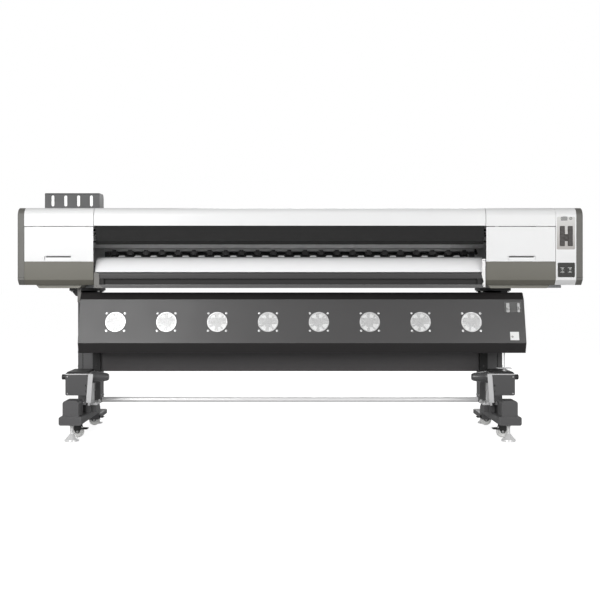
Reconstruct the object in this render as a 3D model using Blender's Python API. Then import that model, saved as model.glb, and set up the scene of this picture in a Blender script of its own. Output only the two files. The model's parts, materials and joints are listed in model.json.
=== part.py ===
"""Wide-format roll-to-roll printer with a drying-fan box and a take-up, on a two-leg stand.

Metres, +Z up, the front towards -Y. The origin is on the floor, in the middle of the bounding box.
Sheet covers hang on a steel chassis beam. Two legs carry it on levelling feet, with casters beside
them that hang just clear of the floor.
"""

import math

import bmesh
import bpy
from mathutils import Matrix, Vector

GAP = 0.0005  # clearance between neighbouring pieces

# Body, outside
WIDTH = 2.9234
CAP_WIDTH = 0.034
CAP_X = WIDTH / 2 - CAP_WIDTH
OPENING = (-1.0685, 0.9605)  # X range of the open printing zone
COLUMN_X = 1.321  # left edge of the control column
FRONT, REAR = -0.31, 0.30
TOP, BAND, DOOR_LOW, CHAMFER_TOP, BASE, PAN = 1.198, 1.100, 0.918, 0.823, 0.797, 0.7805
CHAMFER_RUN = 0.025
FRONT_RADIUS, REAR_RADIUS = 0.045, 0.02
SHEET = 0.003
LID_HINGE = (0.0, 0.120, TOP)

# Body, inside
BEAM_Y, BEAM_Z = (-0.12, 0.18), (PAN, 0.900)
RAIL_BEAM_Y, RAIL_BEAM_Z = (-0.045, 0.065), (0.997, 1.115)
RAIL_Z, RAIL_FRONT = (1.055, 1.070), -0.060
PLATEN_Z = 0.945
GRIT_Y, GRIT_Z, GRIT_R = 0.010, 0.9313, 0.014
PINCH_COUNT, PINCH_FIRST, PINCH_LAST = 23, -1.014, 0.900
PINCH_SHAFT = (0.045, 0.972)  # Y and Z of the lifting shaft
PINCH_WHEEL_R = 0.012
CARRIAGE_X = (1.010, 1.250)  # the carriage parked at the right

# Drying-fan box
FAN_BOX_X = (-1.153, 1.1725)
FACE_TOP, FACE_LOW = (-0.240, 0.7209), (-0.300, 0.4968)
FACE_TILT = math.atan2(FACE_TOP[0] - FACE_LOW[0], FACE_TOP[1] - FACE_LOW[1])
FAN_BOX_TOP, FAN_BOX_LOW, FAN_BOX_REAR = 0.757, 0.4436, -0.150
FAN_SHEET = 0.002
FAN_COUNT, FAN_FIRST, FAN_PITCH, FAN_Z = 8, -0.9616, 0.2648, 0.6045
FAN_Y = FACE_LOW[0] + (FAN_Z - FACE_LOW[1]) * math.tan(FACE_TILT)
FAN_BORE_R, FAN_FRAME, FAN_DEPTH = 0.051, 0.110, 0.032

# Stand: X offsets count outwards from the middle of the stand
STAND_X = -0.052
POST_IN, POST_OUT = 1.061, 1.160
POST_Y = (-0.020, 0.080)
POST_WALL = 0.004
FOOT_CENTRE, FOOT_HALF, FOOT_Z = 1.116, 0.058, (0.0844, 0.129)
FOOT_Y, REAR_FOOT_Y = (-0.410, 0.090), (0.040, 0.292)
REAR_FOOT_Z = (0.052, 0.0795)
CASTER_Y = {"front": -0.250, "rear": 0.186}
LEVELLER_Y = {"front": -0.365, "rear": 0.268}
STEM_R = 0.009
CASTER_TOP = {"front": 0.0838, "rear": 0.0738}
WHEEL_R, WHEEL_HALF, WHEEL_TRAIL = 0.031, 0.011, 0.014
TUBE_Y, TUBE_Z, TUBE_R, TUBE_END = 0.030, 0.165, 0.014, 1.036
BEAM_LOW = 0.323  # underside of the cross beam
FEED_Y, FEED_Z, FEED_ARM = 0.240, 0.590, (1.062, 1.070)
TAKEUP_Y, TAKEUP_Z = -0.215, 0.313
BOX_X, BOX_Y, BOX_Z = (1.0495, 1.167), (-0.290, -0.090), (0.2235, 0.330)
PLATE_X = (1.041, 1.049)

SIDES = {"left": -1, "right": 1}


def paint(name, colour, roughness, metallic=0.0):
    """A Principled material of one plain colour."""
    material = bpy.data.materials.new(name)
    material.use_nodes = True
    shader = material.node_tree.nodes["Principled BSDF"]
    shader.inputs["Base Color"].default_value = (*colour, 1)
    shader.inputs["Roughness"].default_value = roughness
    shader.inputs["Metallic"].default_value = metallic
    return material


# Solids: each function returns a closed bmesh in world coordinates


def block(low, high):
    """A box between two corners."""
    low, high = Vector(low), Vector(high)
    bm = bmesh.new()
    bmesh.ops.create_cube(bm, size=1)
    bmesh.ops.scale(bm, vec=high - low, verts=bm.verts)
    bmesh.ops.translate(bm, vec=(low + high) / 2, verts=bm.verts)
    return bm


def side_block(side, x, y, z):
    """A box on one side of the stand, with its X range counted outwards from the stand's middle."""
    ends = sorted(STAND_X + SIDES[side] * offset for offset in x)
    return block((ends[0], y[0], z[0]), (ends[1], y[1], z[1]))


def prism(outline, start, end, plane="yz"):
    """A closed outline in one plane, extruded from start to end along the axis across it."""
    place = {
        "yz": lambda u, v, w: (w, u, v),
        "xz": lambda u, v, w: (u, w, v),
        "xy": lambda u, v, w: (u, v, w),
    }[plane]
    bm = bmesh.new()
    face = bm.faces.new([bm.verts.new(place(u, v, start)) for u, v in outline])
    grown = bmesh.ops.extrude_face_region(bm, geom=[face])["geom"]
    moved = [item for item in grown if isinstance(item, bmesh.types.BMVert)]
    bmesh.ops.translate(bm, vec=place(0, 0, end - start), verts=moved)
    return bm


def turned(profile, centre, axis, segments=16, ring=False):
    """(radius, height) points spun about the axis; a ring's profile closes on itself."""
    bm = bmesh.new()
    verts = [bm.verts.new((radius, 0, height)) for radius, height in profile]
    edges = [bm.edges.new(pair) for pair in zip(verts, verts[1:])]
    if ring:
        edges.append(bm.edges.new((verts[-1], verts[0])))
    bmesh.ops.spin(bm, geom=verts + edges, axis=(0, 0, 1), angle=math.tau, steps=segments, use_merge=True)
    bmesh.ops.remove_doubles(bm, verts=bm.verts, dist=1e-6)
    turn = Vector((0, 0, 1)).rotation_difference(Vector(axis)).to_matrix().to_4x4()
    bmesh.ops.transform(bm, matrix=Matrix.Translation(centre) @ turn, verts=bm.verts)
    return bm


def rod(start, end, radius, segments=12):
    """A round bar between two points."""
    length = (Vector(end) - Vector(start)).length
    profile = [(0, 0), (radius, 0), (radius, length), (0, length)]
    return turned(profile, start, Vector(end) - Vector(start), segments)


def gathered(solids):
    """Several solids as one bmesh, still separate bodies."""
    whole = bmesh.new()
    for bm in solids:
        bmesh.ops.recalc_face_normals(bm, faces=bm.faces)
        mesh = bpy.data.meshes.new("loose")
        bm.to_mesh(mesh)
        bm.free()
        whole.from_mesh(mesh)
        bpy.data.meshes.remove(mesh)
    return whole


def arc(centre, radius, start, end, steps=6):
    """Points on an arc, with its angles in degrees from the first axis towards the second."""
    angles = [math.radians(start + (end - start) * i / steps) for i in range(steps + 1)]
    return [(centre[0] + radius * math.cos(a), centre[1] + radius * math.sin(a)) for a in angles]


def sheet(path, thickness):
    """The closed outline of a bent sheet: the path, and its copy offset to the right of its direction."""
    inner = []
    for i, (u, v) in enumerate(path):
        before = Vector(path[i]) - Vector(path[i - 1]) if i else None
        after = Vector(path[i + 1]) - Vector(path[i]) if i + 1 < len(path) else None
        runs = [run.normalized() for run in (before, after) if run is not None]
        normals = [Vector((run.y, -run.x)) for run in runs]
        mitre = sum(normals, Vector((0, 0))).normalized()
        offset = mitre * thickness / mitre.dot(normals[0])
        inner.append((u + offset.x, v + offset.y))
    return list(path) + inner[::-1]


# Objects


def add_object(name, bm, finish, origin=(0, 0, 0)):
    """Link a world-space bmesh as an object whose origin is at the given point."""
    bmesh.ops.recalc_face_normals(bm, faces=bm.faces)
    bmesh.ops.translate(bm, verts=bm.verts, vec=-Vector(origin))
    mesh = bpy.data.meshes.new(name)
    bm.to_mesh(mesh)
    bm.free()
    mesh.materials.append(finish)
    mesh.shade_smooth()
    mesh.set_sharp_from_angle(angle=math.radians(32))
    obj = bpy.data.objects.new(name, mesh)
    obj.location = origin
    bpy.context.scene.collection.objects.link(obj)
    return obj


def combine(obj, bm, operation):
    """Fuse a solid to the object, or cut it away, by a Boolean with a hidden helper."""
    helper = add_object(f"helper_{obj.name}", bm, obj.data.materials[0])
    helper.hide_render = True
    helper.display_type = "WIRE"
    modifier = obj.modifiers.new(operation.title(), "BOOLEAN")
    modifier.operation = operation
    modifier.solver = "EXACT"
    modifier.object = helper


def piece(name, finish, solids, cuts=(), origin=(0, 0, 0)):
    """One node: its first solid, with the others fused on and the cuts taken away."""
    obj = add_object(name, solids[0], finish, origin)
    for bm in solids[1:]:
        combine(obj, bm, "UNION")
    for bm in cuts:
        combine(obj, bm, "DIFFERENCE")
    return obj


# Body covers


def over_the_top(front_low, rear_low, rear_start=None):
    """The covers' path: up the front, round its large edge, over the top and down the rear."""
    front_edge = arc((FRONT + FRONT_RADIUS, TOP - FRONT_RADIUS), FRONT_RADIUS, 180, 90)
    rear_edge = arc((REAR - REAR_RADIUS, TOP - REAR_RADIUS), REAR_RADIUS, 90, 0, steps=4)
    if rear_start is not None:
        return [(rear_start, TOP)] + rear_edge + [(REAR, rear_low)]
    if rear_low is None:
        return [(FRONT, front_low)] + front_edge + [(LID_HINGE[1] - GAP, TOP)]
    return [(FRONT, front_low)] + front_edge + rear_edge + [(REAR, rear_low)]


def build_hoods(white):
    hood = sheet(over_the_top(BAND + 3 * GAP, BASE + 0.003), SHEET)
    piece("left_hood", white, [prism(hood, -CAP_X + GAP, OPENING[0] - GAP)])
    piece("right_hood", white, [prism(hood, OPENING[1] + GAP, COLUMN_X - GAP)])
    rear = sheet(over_the_top(None, 0.985, rear_start=LID_HINGE[1] + GAP), SHEET)
    piece("rear_cover", white, [prism(rear, OPENING[0] + GAP, OPENING[1] - GAP)])


def lower_cover(name, finish, x, pan_x):
    """The grey skirt under a door: front, bottom chamfer, and a shallow pan below."""
    path = [
        (-0.1215, BASE),
        (FRONT + CHAMFER_RUN, BASE),
        (FRONT, CHAMFER_TOP),
        (FRONT, DOOR_LOW - GAP),
    ]
    slant = 0.015
    pan = [
        (pan_x[0], BASE + 0.001),
        (pan_x[0] + slant, PAN),
        (pan_x[1] - slant, PAN),
        (pan_x[1], BASE + 0.001),
    ]
    pan_y = (FRONT + CHAMFER_RUN + 0.012, -0.1215)
    piece(name, finish, [prism(sheet(path, SHEET), *x), prism(pan, *pan_y, plane="xz")])


def end_cap(name, finish, side):
    """A moulded end of the body, hollow from its inner side."""
    outline = over_the_top(CHAMFER_TOP, BASE)
    outline.append((FRONT + CHAMFER_RUN, BASE))
    inner, outer = side * CAP_X, side * WIDTH / 2
    bm = prism(outline, inner, outer)
    faces = [f for f in bm.faces if len(f.verts) > 4]
    outside = max(faces, key=lambda f: abs(f.calc_center_median().x))
    inside = min(faces, key=lambda f: abs(f.calc_center_median().x))
    wall, floor = 0.004, 0.028
    bmesh.ops.inset_region(bm, faces=[inside], thickness=wall)
    bmesh.ops.translate(bm, verts=inside.verts, vec=(side * floor, 0, 0))
    bmesh.ops.bevel(
        bm, geom=list(outside.edges), offset=0.005, affect="EDGES", segments=2, profile=0.5, material=-1
    )
    piece(name, finish, [bm])


def door(name, finish, x):
    """A lift-up access door with a finger pull and two hinge knuckles behind its top edge."""
    pivot = Vector((sum(x) / 2, FRONT + 0.008, BAND - 0.010))
    low, high = DOOR_LOW + GAP, BAND - 3 * GAP
    pull_x, pull_z, pull_depth, cup = 0.071, (0.926, 0.948), 0.010, 0.013
    from_outer_end = 0.174
    middle = x[0] + from_outer_end if name == "left_door" else x[1] - from_outer_end
    panel = block((x[0], FRONT, low), (x[1], FRONT + SHEET, high))
    boss = block(
        (middle - pull_x - SHEET, FRONT + 0.001, pull_z[0] - SHEET),
        (middle + pull_x + SHEET, FRONT + cup, pull_z[1] + SHEET),
    )
    knuckles = gathered(
        [
            block((at - 0.02, FRONT + 0.002, pivot.z - 0.006), (at + 0.02, FRONT + 0.014, pivot.z + 0.006))
            for at in (x[0] + 0.05, x[1] - 0.05)
        ]
    )
    pull = block(
        (middle - pull_x, FRONT - 0.005, pull_z[0]), (middle + pull_x, FRONT + pull_depth, pull_z[1])
    )
    piece(name, finish, [panel, boss, knuckles], [pull], pivot)


def build_lid(white, smoked):
    """The front lid: white band and top in one sheet, with the smoked window hung inside its lip."""
    lid = sheet(over_the_top(BAND + 0.004, None), SHEET)
    span = (OPENING[0] + 3 * GAP, OPENING[1] - 3 * GAP)
    piece("front_lid", white, [prism(lid, *span)], origin=LID_HINGE)
    hung = FRONT + SHEET + 0.001
    path = [(-0.2680, 1.0120), (-0.2950, 1.0900), (hung, 1.1060), (hung, 1.1300)]
    piece("lid_window", smoked, [prism(sheet(path, 0.004), span[0] + 0.004, span[1] - 0.004)], origin=LID_HINGE)


# Print mechanism


def box_tube(y, z, x, wall=0.005):
    """A square tube along X, open at both ends, as an outer solid and the cut that hollows it."""
    outer = block((x[0], y[0], z[0]), (x[1], y[1], z[1]))
    hollow = block((x[0] - 0.01, y[0] + wall, z[0] + wall), (x[1] + 0.01, y[1] - wall, z[1] - wall))
    return outer, hollow


def build_chassis(steel):
    """The main beam, the two end uprights that carry the rail beam, and the grit roller's bearings."""
    reach, plate = 1.400, 0.015
    outer, hollow = box_tube(BEAM_Y, BEAM_Z, (-reach, reach))
    chassis = piece("chassis_beam", steel, [outer], [hollow])
    blocks = [block((end, -0.24, 0.8975), (end + plate, 0.24, 1.170)) for end in (-reach, reach - plate)]
    bearing_x = ((OPENING[0] - 0.0215, OPENING[0] - 0.0015), (OPENING[1] + 0.0015, OPENING[1] + 0.0215))
    blocks += [
        block((x[0], GRIT_Y - 0.016, 0.8975), (x[1], GRIT_Y + 0.016, GRIT_Z + 0.013)) for x in bearing_x
    ]
    combine(chassis, gathered(blocks), "UNION")
    bores = [rod((x[0] - 0.01, GRIT_Y, GRIT_Z), (x[1] + 0.01, GRIT_Y, GRIT_Z), 0.0086) for x in bearing_x]
    combine(chassis, gathered(bores), "DIFFERENCE")


def build_rail_beam(aluminium):
    reach = 1.400 - 0.015 - GAP
    outer, hollow = box_tube(RAIL_BEAM_Y, RAIL_BEAM_Z, (-reach, reach))
    rail = block((-reach, RAIL_FRONT, RAIL_Z[0]), (reach, RAIL_BEAM_Y[0] + 0.001, RAIL_Z[1]))
    piece("carriage_beam", aluminium, [outer, rail], [hollow])


def build_media_path(aluminium, white, grey):
    """Platen, front apron with the rail below it, and the curved rear guide."""
    span = (OPENING[0] + 0.002, OPENING[1] - 0.002)
    low, wall = BEAM_Z[1] + GAP, 0.006
    front, rear = -0.199, GRIT_Y - 0.018
    platen = [
        (front, low),
        (front, PLATEN_Z),
        (rear, PLATEN_Z),
        (rear, low),
        (rear - wall, low),
        (rear - wall, PLATEN_Z - wall),
        (front + wall, PLATEN_Z - wall),
        (front + wall, low),
    ]
    piece("print_platen", aluminium, [prism(platen, *span)])

    apron_top, apron_low = Vector((front - 0.001, 0.9445)), Vector((-0.290, 0.8645))
    chord = apron_low - apron_top
    bulge = 0.014
    radius = (chord.length**2 / 4 + bulge**2) / (2 * bulge)
    outward = Vector((chord.y, -chord.x)).normalized()
    centre = (apron_top + apron_low) / 2 - outward * (radius - bulge)
    angles = [math.degrees(math.atan2(p.y - centre.y, p.x - centre.x)) for p in (apron_low, apron_top)]
    start, end = (angle % 360 for angle in angles)
    apron = arc(centre, radius, start, end, steps=8)
    piece("front_apron", white, [prism(sheet(apron, SHEET), *span)])

    lip, recess, foot = -0.300, -0.284, -0.304
    rail = [
        (-0.1215, PAN + 0.001),
        (foot, PAN + 0.001),
        (foot, 0.7995),
        (recess, 0.7995),
        (recess, 0.8295),
        (lip, 0.8295),
        (lip, 0.8595),
        (-0.270, 0.8595),
    ]
    piece("apron_rail", grey, [prism(sheet(rail, 0.0025), *span)])

    bend = 0.150
    guide = [(GRIT_Y + 0.0185, PLATEN_Z)] + arc((0.41 - bend, PLATEN_Z - bend), bend, 90, 0, steps=8)
    piece("rear_media_guide", aluminium, [prism(sheet(guide, SHEET), *span)])


def build_rollers(steel, black, dark):
    """The driven grit roller and, above it, the sprung pinch wheels on their lifting shaft."""
    left, right, journal = OPENING[0] + 0.0025, OPENING[1] - 0.0025, 0.019
    profile = [(0, -journal), (0.008, -journal), (0.008, 0), (GRIT_R, 0)]
    length = right - left
    profile += [(GRIT_R, length), (0.008, length), (0.008, length + journal), (0, length + journal)]
    roller = turned(profile, (left, GRIT_Y, GRIT_Z), (1, 0, 0))
    piece("grit_roller", steel, [roller], origin=(0, GRIT_Y, GRIT_Z))

    bar = block((left, -0.005, 0.9805), (right, 0.060, RAIL_BEAM_Z[0] - GAP))
    piece("pinch_bar", dark, [bar])

    y, z = PINCH_SHAFT
    wheel_z = GRIT_Z + GRIT_R + GAP + PINCH_WHEEL_R
    pitch = (PINCH_LAST - PINCH_FIRST) / (PINCH_COUNT - 1)
    arm = [(y + 0.007, z - 0.005), (y + 0.007, z + 0.006), (y - 0.008, z + 0.006)]
    arm += [(GRIT_Y - 0.006, wheel_z + 0.010), (GRIT_Y - 0.009, wheel_z + 0.003)]
    arm.append((GRIT_Y + 0.004, wheel_z - 0.003))
    half_arm, half_wheel = 0.011, 0.0205
    arms, wheels = [], []
    for i in range(PINCH_COUNT):
        x = PINCH_FIRST + i * pitch
        arms.append(prism(arm, x - half_arm, x + half_arm))
        ends = ((x - half_wheel, GRIT_Y, wheel_z), (x + half_wheel, GRIT_Y, wheel_z))
        wheels.append(rod(*ends, PINCH_WHEEL_R))
    shaft = rod((PINCH_FIRST - 0.03, y, z), (0.984, y, z), 0.0045, 8)
    lever = [(y - 0.006, z - 0.004), (y + 0.002, z - 0.008), (y + 0.078, z + 0.052), (y + 0.072, z + 0.060)]
    handle = prism(lever, 0.970, 0.982)
    piece("pinch_arms", black, [shaft, gathered(arms), gathered(wheels), handle], origin=(0, y, z))


def build_carriage(black, dark):
    """The print carriage on its rail, and the capping station that it parks over."""
    front, back, slider = -0.185, -0.062, RAIL_BEAM_Y[0] - 0.0015
    low, top, bevel = 0.957, 1.165, 0.015
    body = [
        (front, low),
        (front, top - bevel),
        (front + bevel, top),
        (back, top),
        (back, RAIL_Z[1] + 0.011),
        (slider, RAIL_Z[1] + 0.011),
        (slider, RAIL_Z[1] + 0.001),
        (RAIL_FRONT - 0.001, RAIL_Z[1] + 0.001),
        (RAIL_FRONT - 0.001, RAIL_Z[0] - 0.001),
        (slider, RAIL_Z[0] - 0.001),
        (slider, RAIL_Z[0] - 0.011),
        (back, RAIL_Z[0] - 0.011),
        (back, low),
    ]
    heads = block((CARRIAGE_X[0] + 0.04, -0.175, 0.9503), (CARRIAGE_X[1] - 0.04, -0.085, low + 0.001))
    middle = (sum(CARRIAGE_X) / 2, front, low)
    piece("print_carriage", black, [prism(body, *CARRIAGE_X), heads], origin=middle)

    tray = block((CARRIAGE_X[0] + 0.02, -0.200, BEAM_Z[1] + GAP), (CARRIAGE_X[1] - 0.02, -0.060, 0.935))
    pads = gathered(
        [
            block((x - 0.017, -0.180, 0.934), (x + 0.017, -0.080, 0.946))
            for x in (CARRIAGE_X[0] + 0.048 + 0.048 * i for i in range(4))
        ]
    )
    piece("capping_station", dark, [tray, pads])


def build_ink(grey, white):
    """Four ink bottles standing on the left hood, under a cover with a level slot for each."""
    low, high = TOP + GAP, 1.299
    x, y = (-1.3945, -1.0953), (-0.010, 0.112)
    first, pitch, slot = -1.3504, 0.0702, 0.008

    def shell(x, y, high, front_r, rear_r, low):
        outline = [(y[0], low)] + arc((y[0] + front_r, high - front_r), front_r, 180, 90, 3)
        outline += arc((y[1] - rear_r, high - rear_r), rear_r, 90, 0, 4) + [(y[1], low)]
        return prism(outline, *x)

    inner_x, inner_y = ((ends[0] + SHEET, ends[1] - SHEET) for ends in (x, y))
    inside = shell(inner_x, inner_y, high - SHEET, 0.007, 0.027, low - 0.01)
    centres = [first + i * pitch for i in range(4)]
    slots = gathered([block((c - slot, y[0] - 0.01, 1.226), (c + slot, y[0] + 0.005, 1.286)) for c in centres])
    piece("ink_tank_cover", grey, [shell(x, y, high, 0.010, 0.030, low)], [inside, slots])

    rack = block((x[0] + 0.008, y[0] + 0.010, low), (x[1] - 0.008, y[1] - 0.014, low + 0.010))
    bottles = gathered([block((c - 0.026, 0.006, low + 0.009), (c + 0.026, 0.084, 1.284)) for c in centres])
    piece("ink_bottles", white, [rack, bottles])


def build_controls(white, black):
    """The control column at the right, and its two rocker switches."""
    path = [(FRONT + CHAMFER_RUN, BASE), (FRONT, CHAMFER_TOP)] + over_the_top(CHAMFER_TOP, BASE + 0.003)[1:]
    half_x, half_z, switch_z, pivot_y = 0.0105, 0.0135, 0.8747, FRONT + 0.0015
    switches = {"power_switch": 1.3548, "heater_switch": 1.3935}
    windows = gathered(
        [
            block((x - half_x, FRONT - 0.01, switch_z - half_z), (x + half_x, FRONT + 0.01, switch_z + half_z))
            for x in switches.values()
        ]
    )
    piece("control_panel", white, [prism(sheet(path, SHEET), COLUMN_X + GAP, CAP_X - GAP)], [windows])
    radius, rest_tilt = 0.0125, math.radians(10)
    rim_y, rim_z = pivot_y - 0.0062, 0.0105
    dish = [(rim_y, switch_z + rim_z), (pivot_y - 0.0030, switch_z), (rim_y, switch_z - rim_z)]
    rocker = dish + arc((pivot_y, switch_z), radius, -110, 110, steps=8)
    for name, x in switches.items():
        bm = prism(rocker, x - half_x + GAP, x + half_x - GAP)
        pivot = Vector((x, pivot_y, switch_z))
        bmesh.ops.rotate(bm, cent=pivot, matrix=Matrix.Rotation(rest_tilt, 3, "X"), verts=bm.verts)
        piece(name, black, [bm], origin=pivot)


# Drying-fan box


def fan_matrix(index):
    """Carries a fan drawn about the origin, blowing along +Z, to its place behind the tilted face."""
    place = Matrix.Translation((FAN_FIRST + index * FAN_PITCH, FAN_Y, FAN_Z))
    return place @ Matrix.Rotation(math.radians(90) - FACE_TILT, 4, "X")


def at_fan(bm, index):
    bmesh.ops.transform(bm, matrix=fan_matrix(index), verts=bm.verts)
    return bm


def guard_hole(index):
    """The four quarter holes that leave a cross-shaped guard in the face."""
    bar, steps = 0.0025, 5
    quarters = []
    for turn in range(4):
        limit = math.degrees(math.asin(bar / FAN_BORE_R))
        quarter = [(bar, bar)] + arc((0, 0), FAN_BORE_R, limit, 90 - limit, steps)
        bm = prism(quarter, -0.010, 0.010, plane="xy")
        bmesh.ops.rotate(bm, matrix=Matrix.Rotation(turn * math.pi / 2, 3, "Z"), verts=bm.verts)
        quarters.append(at_fan(bm, index))
    return quarters


def build_fan_box(dark):
    """A folded sheet box, open at the back, with end plates and a guarded hole for each fan."""
    lip = 0.020
    path = [
        (FAN_BOX_REAR, FAN_BOX_LOW + lip),
        (FAN_BOX_REAR, FAN_BOX_LOW),
        (FACE_LOW[0] + 0.020, FAN_BOX_LOW),
        FACE_LOW,
        FACE_TOP,
        (FACE_TOP[0] + 0.030, FAN_BOX_TOP),
        (FAN_BOX_REAR, FAN_BOX_TOP),
        (FAN_BOX_REAR, FAN_BOX_TOP - lip),
    ]
    ends = [
        prism(path[1:-1], x, x + FAN_SHEET)
        for x in (FAN_BOX_X[0], FAN_BOX_X[1] - FAN_SHEET)
    ]
    holes = [bm for index in range(FAN_COUNT) for bm in guard_hole(index)]
    inset = FAN_SHEET / 2
    skin = prism(sheet(path, FAN_SHEET), FAN_BOX_X[0] + inset, FAN_BOX_X[1] - inset)
    piece("fan_box", dark, [skin, gathered(ends)], [gathered(holes)])


def build_fan_frames(black):
    """Eight square fan frames on two mounting strips, each with struts to its motor hub."""
    half, near = FAN_FRAME / 2, -FAN_SHEET - GAP
    far = near - FAN_DEPTH
    frames, bores, hubs = [], [], []
    for index in range(FAN_COUNT):
        frames.append(at_fan(block((-half, -half, far), (half, half, near)), index))
        bores.append(at_fan(rod((0, 0, far - 0.01), (0, 0, near + 0.01), FAN_BORE_R, 24), index))
        hubs.append(at_fan(rod((0, 0, far + 0.001), (0, 0, far + 0.006), 0.022, 12), index))
    struts = []
    for index in range(FAN_COUNT):
        for low, high in (((-0.052, -0.003), (0.052, 0.003)), ((-0.003, -0.052), (0.003, 0.052))):
            struts.append(at_fan(block((*low, far + 0.002), (*high, far + 0.005)), index))
    last = FAN_FIRST + (FAN_COUNT - 1) * FAN_PITCH
    strips = []
    for edge in (-half + 0.002, half - 0.014):
        bm = block((FAN_FIRST, edge, near - 0.010), (last, edge + 0.012, near - 0.006))
        bmesh.ops.translate(bm, vec=(-FAN_FIRST, 0, 0), verts=bm.verts)
        strips.append(at_fan(bm, 0))
    frame = piece("fan_frames", black, [strips[0], strips[1]])
    combine(frame, gathered(frames), "UNION")
    combine(frame, gathered(bores), "DIFFERENCE")
    combine(frame, gathered(struts[0::2]), "UNION")
    combine(frame, gathered(struts[1::2]), "UNION")
    combine(frame, gathered(hubs), "UNION")


def impeller_mesh():
    """A hub with seven pitched blades, drawn about the origin along +Z."""
    blades, hub_r, tip_r, half_depth = 7, 0.020, 0.048, 0.009
    step = math.tau / blades
    half_slot = math.radians(4)
    angles = [i * step + side * half_slot for i in range(blades) for side in (-1, 1)]
    outline = [(hub_r * math.cos(a), hub_r * math.sin(a)) for a in angles]
    bm = prism(outline, -half_depth, half_depth, plane="xy")
    roots = [f for f in bm.faces if len(f.verts) == 4 and f.calc_area() < 0.0028 * 2 * half_depth]
    grown = bmesh.ops.extrude_discrete_faces(bm, faces=roots)["faces"]
    for face in grown:
        outward = face.calc_center_median().normalized()
        bmesh.ops.translate(bm, vec=outward * (tip_r - hub_r), verts=face.verts)
        pitch = Matrix.Rotation(math.radians(38), 3, outward)
        bmesh.ops.rotate(bm, cent=face.calc_center_median(), matrix=pitch, verts=face.verts)
    return bm


def build_impellers(black):
    """The eight fan impellers, alike, each turning on its own motor."""
    depth = -FAN_SHEET - GAP - 0.014
    first = add_object("fan_impeller_1", impeller_mesh(), black)
    for index in range(FAN_COUNT):
        name = f"fan_impeller_{index + 1}"
        obj = first if index == 0 else bpy.data.objects.new(name, first.data)
        if index:
            bpy.context.scene.collection.objects.link(obj)
        obj.matrix_world = fan_matrix(index) @ Matrix.Translation((0, 0, depth))


# Stand


def side_x(side, offset):
    return STAND_X + SIDES[side] * offset


def build_leg(side, grey):
    """One welded leg: channel post, flange plate, fan-box arms, feed arm and stepped foot."""
    centre = FOOT_CENTRE
    post = side_block(side, (POST_IN, POST_OUT), POST_Y, (FOOT_Z[1] - 0.002, 0.770))
    hollow = side_block(
        side,
        (POST_IN - 0.01, POST_OUT - POST_WALL),
        (POST_Y[0] + POST_WALL, POST_Y[1] - POST_WALL),
        (FOOT_Z[1], 0.766),
    )
    foot = (centre - FOOT_HALF, centre + FOOT_HALF)
    wall = 0.005
    inner = (foot[0] + wall, foot[1] - wall)
    front_hollow = side_block(side, inner, (-0.110, 0.020), (0.05, FOOT_Z[1] - wall))
    rear_hollow = side_block(side, inner, (0.045, 0.245), (0.04, REAR_FOOT_Z[1] - wall))
    step = (REAR_FOOT_Z[0], FOOT_Z[1] - wall)  # joins the two heights of the foot
    flange = (centre - 0.085, centre + 0.085)
    gusset = [
        (side_x(side, flange[0]), 0.7655),
        (side_x(side, flange[1]), 0.7655),
        (side_x(side, POST_OUT - 0.001), 0.735),
        (side_x(side, POST_IN + 0.001), 0.735),
    ]
    half_hump, corner, hump_top = 0.0405, 0.020, 0.208
    hump = [(side_x(side, centre + edge), FOOT_Z[1] - 0.002) for edge in (-half_hump, half_hump)]
    for sign, (start, end) in ((1, (0, 90)), (-1, (90, 180))):
        x = side_x(side, centre) + sign * (half_hump - corner)
        hump += arc((x, hump_top - corner), corner, start, end, 4)
    if side == "left":
        hump[:2] = hump[1::-1]
    leg = piece(f"{side}_leg", grey, [post], [hollow])
    socket_y = (POST_Y[0] + 0.002, POST_Y[1] - 0.002)
    for bm in (
        side_block(side, foot, FOOT_Y, FOOT_Z),
        side_block(side, foot, REAR_FOOT_Y, REAR_FOOT_Z),
        side_block(side, foot, (REAR_FOOT_Y[0], FOOT_Y[1]), step),
        side_block(side, flange, (POST_Y[0] - 0.03, POST_Y[1] + 0.03), (0.765, PAN - GAP)),
        prism(gusset, POST_Y[0], POST_Y[0] + POST_WALL, plane="xz"),
        prism(hump, -0.400, BOX_Y[0] - 3 * GAP, plane="xz"),
        side_block(side, (TUBE_END + GAP, 1.100), socket_y, (0.150, BEAM_LOW - GAP)),
        side_block(side, (1.075, 1.095), (FAN_BOX_REAR + GAP, POST_Y[0] + 0.002), (0.739, 0.755)),
        side_block(side, (1.075, 1.095), (FAN_BOX_REAR + GAP, POST_Y[0] + 0.002), (0.446, 0.462)),
        side_block(side, FEED_ARM, (POST_Y[1] - 0.003, FEED_Y + 0.030), (FEED_Z - 0.045, FEED_Z + 0.030)),
    ):
        combine(leg, bm, "UNION")
    x, stem_r = side_x(side, centre), STEM_R + 0.0008
    stems = [
        rod((x, LEVELLER_Y[end], 0.03), (x, LEVELLER_Y[end], top), stem_r)
        for end, top in (("front", 0.120), ("rear", 0.14))
    ]
    tube_ends = sorted(side_x(side, offset) for offset in (TUBE_END - 0.01, TUBE_END + 0.013))
    feed_ends = sorted(side_x(side, offset) for offset in (1.050, 1.080))
    journals = [
        rod((tube_ends[0], TUBE_Y, TUBE_Z), (tube_ends[1], TUBE_Y, TUBE_Z), 0.0066),
        rod((feed_ends[0], FEED_Y, FEED_Z), (feed_ends[1], FEED_Y, FEED_Z), 0.0132),
    ]
    combine(leg, gathered([front_hollow, rear_hollow, *stems, *journals]), "DIFFERENCE")


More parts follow.
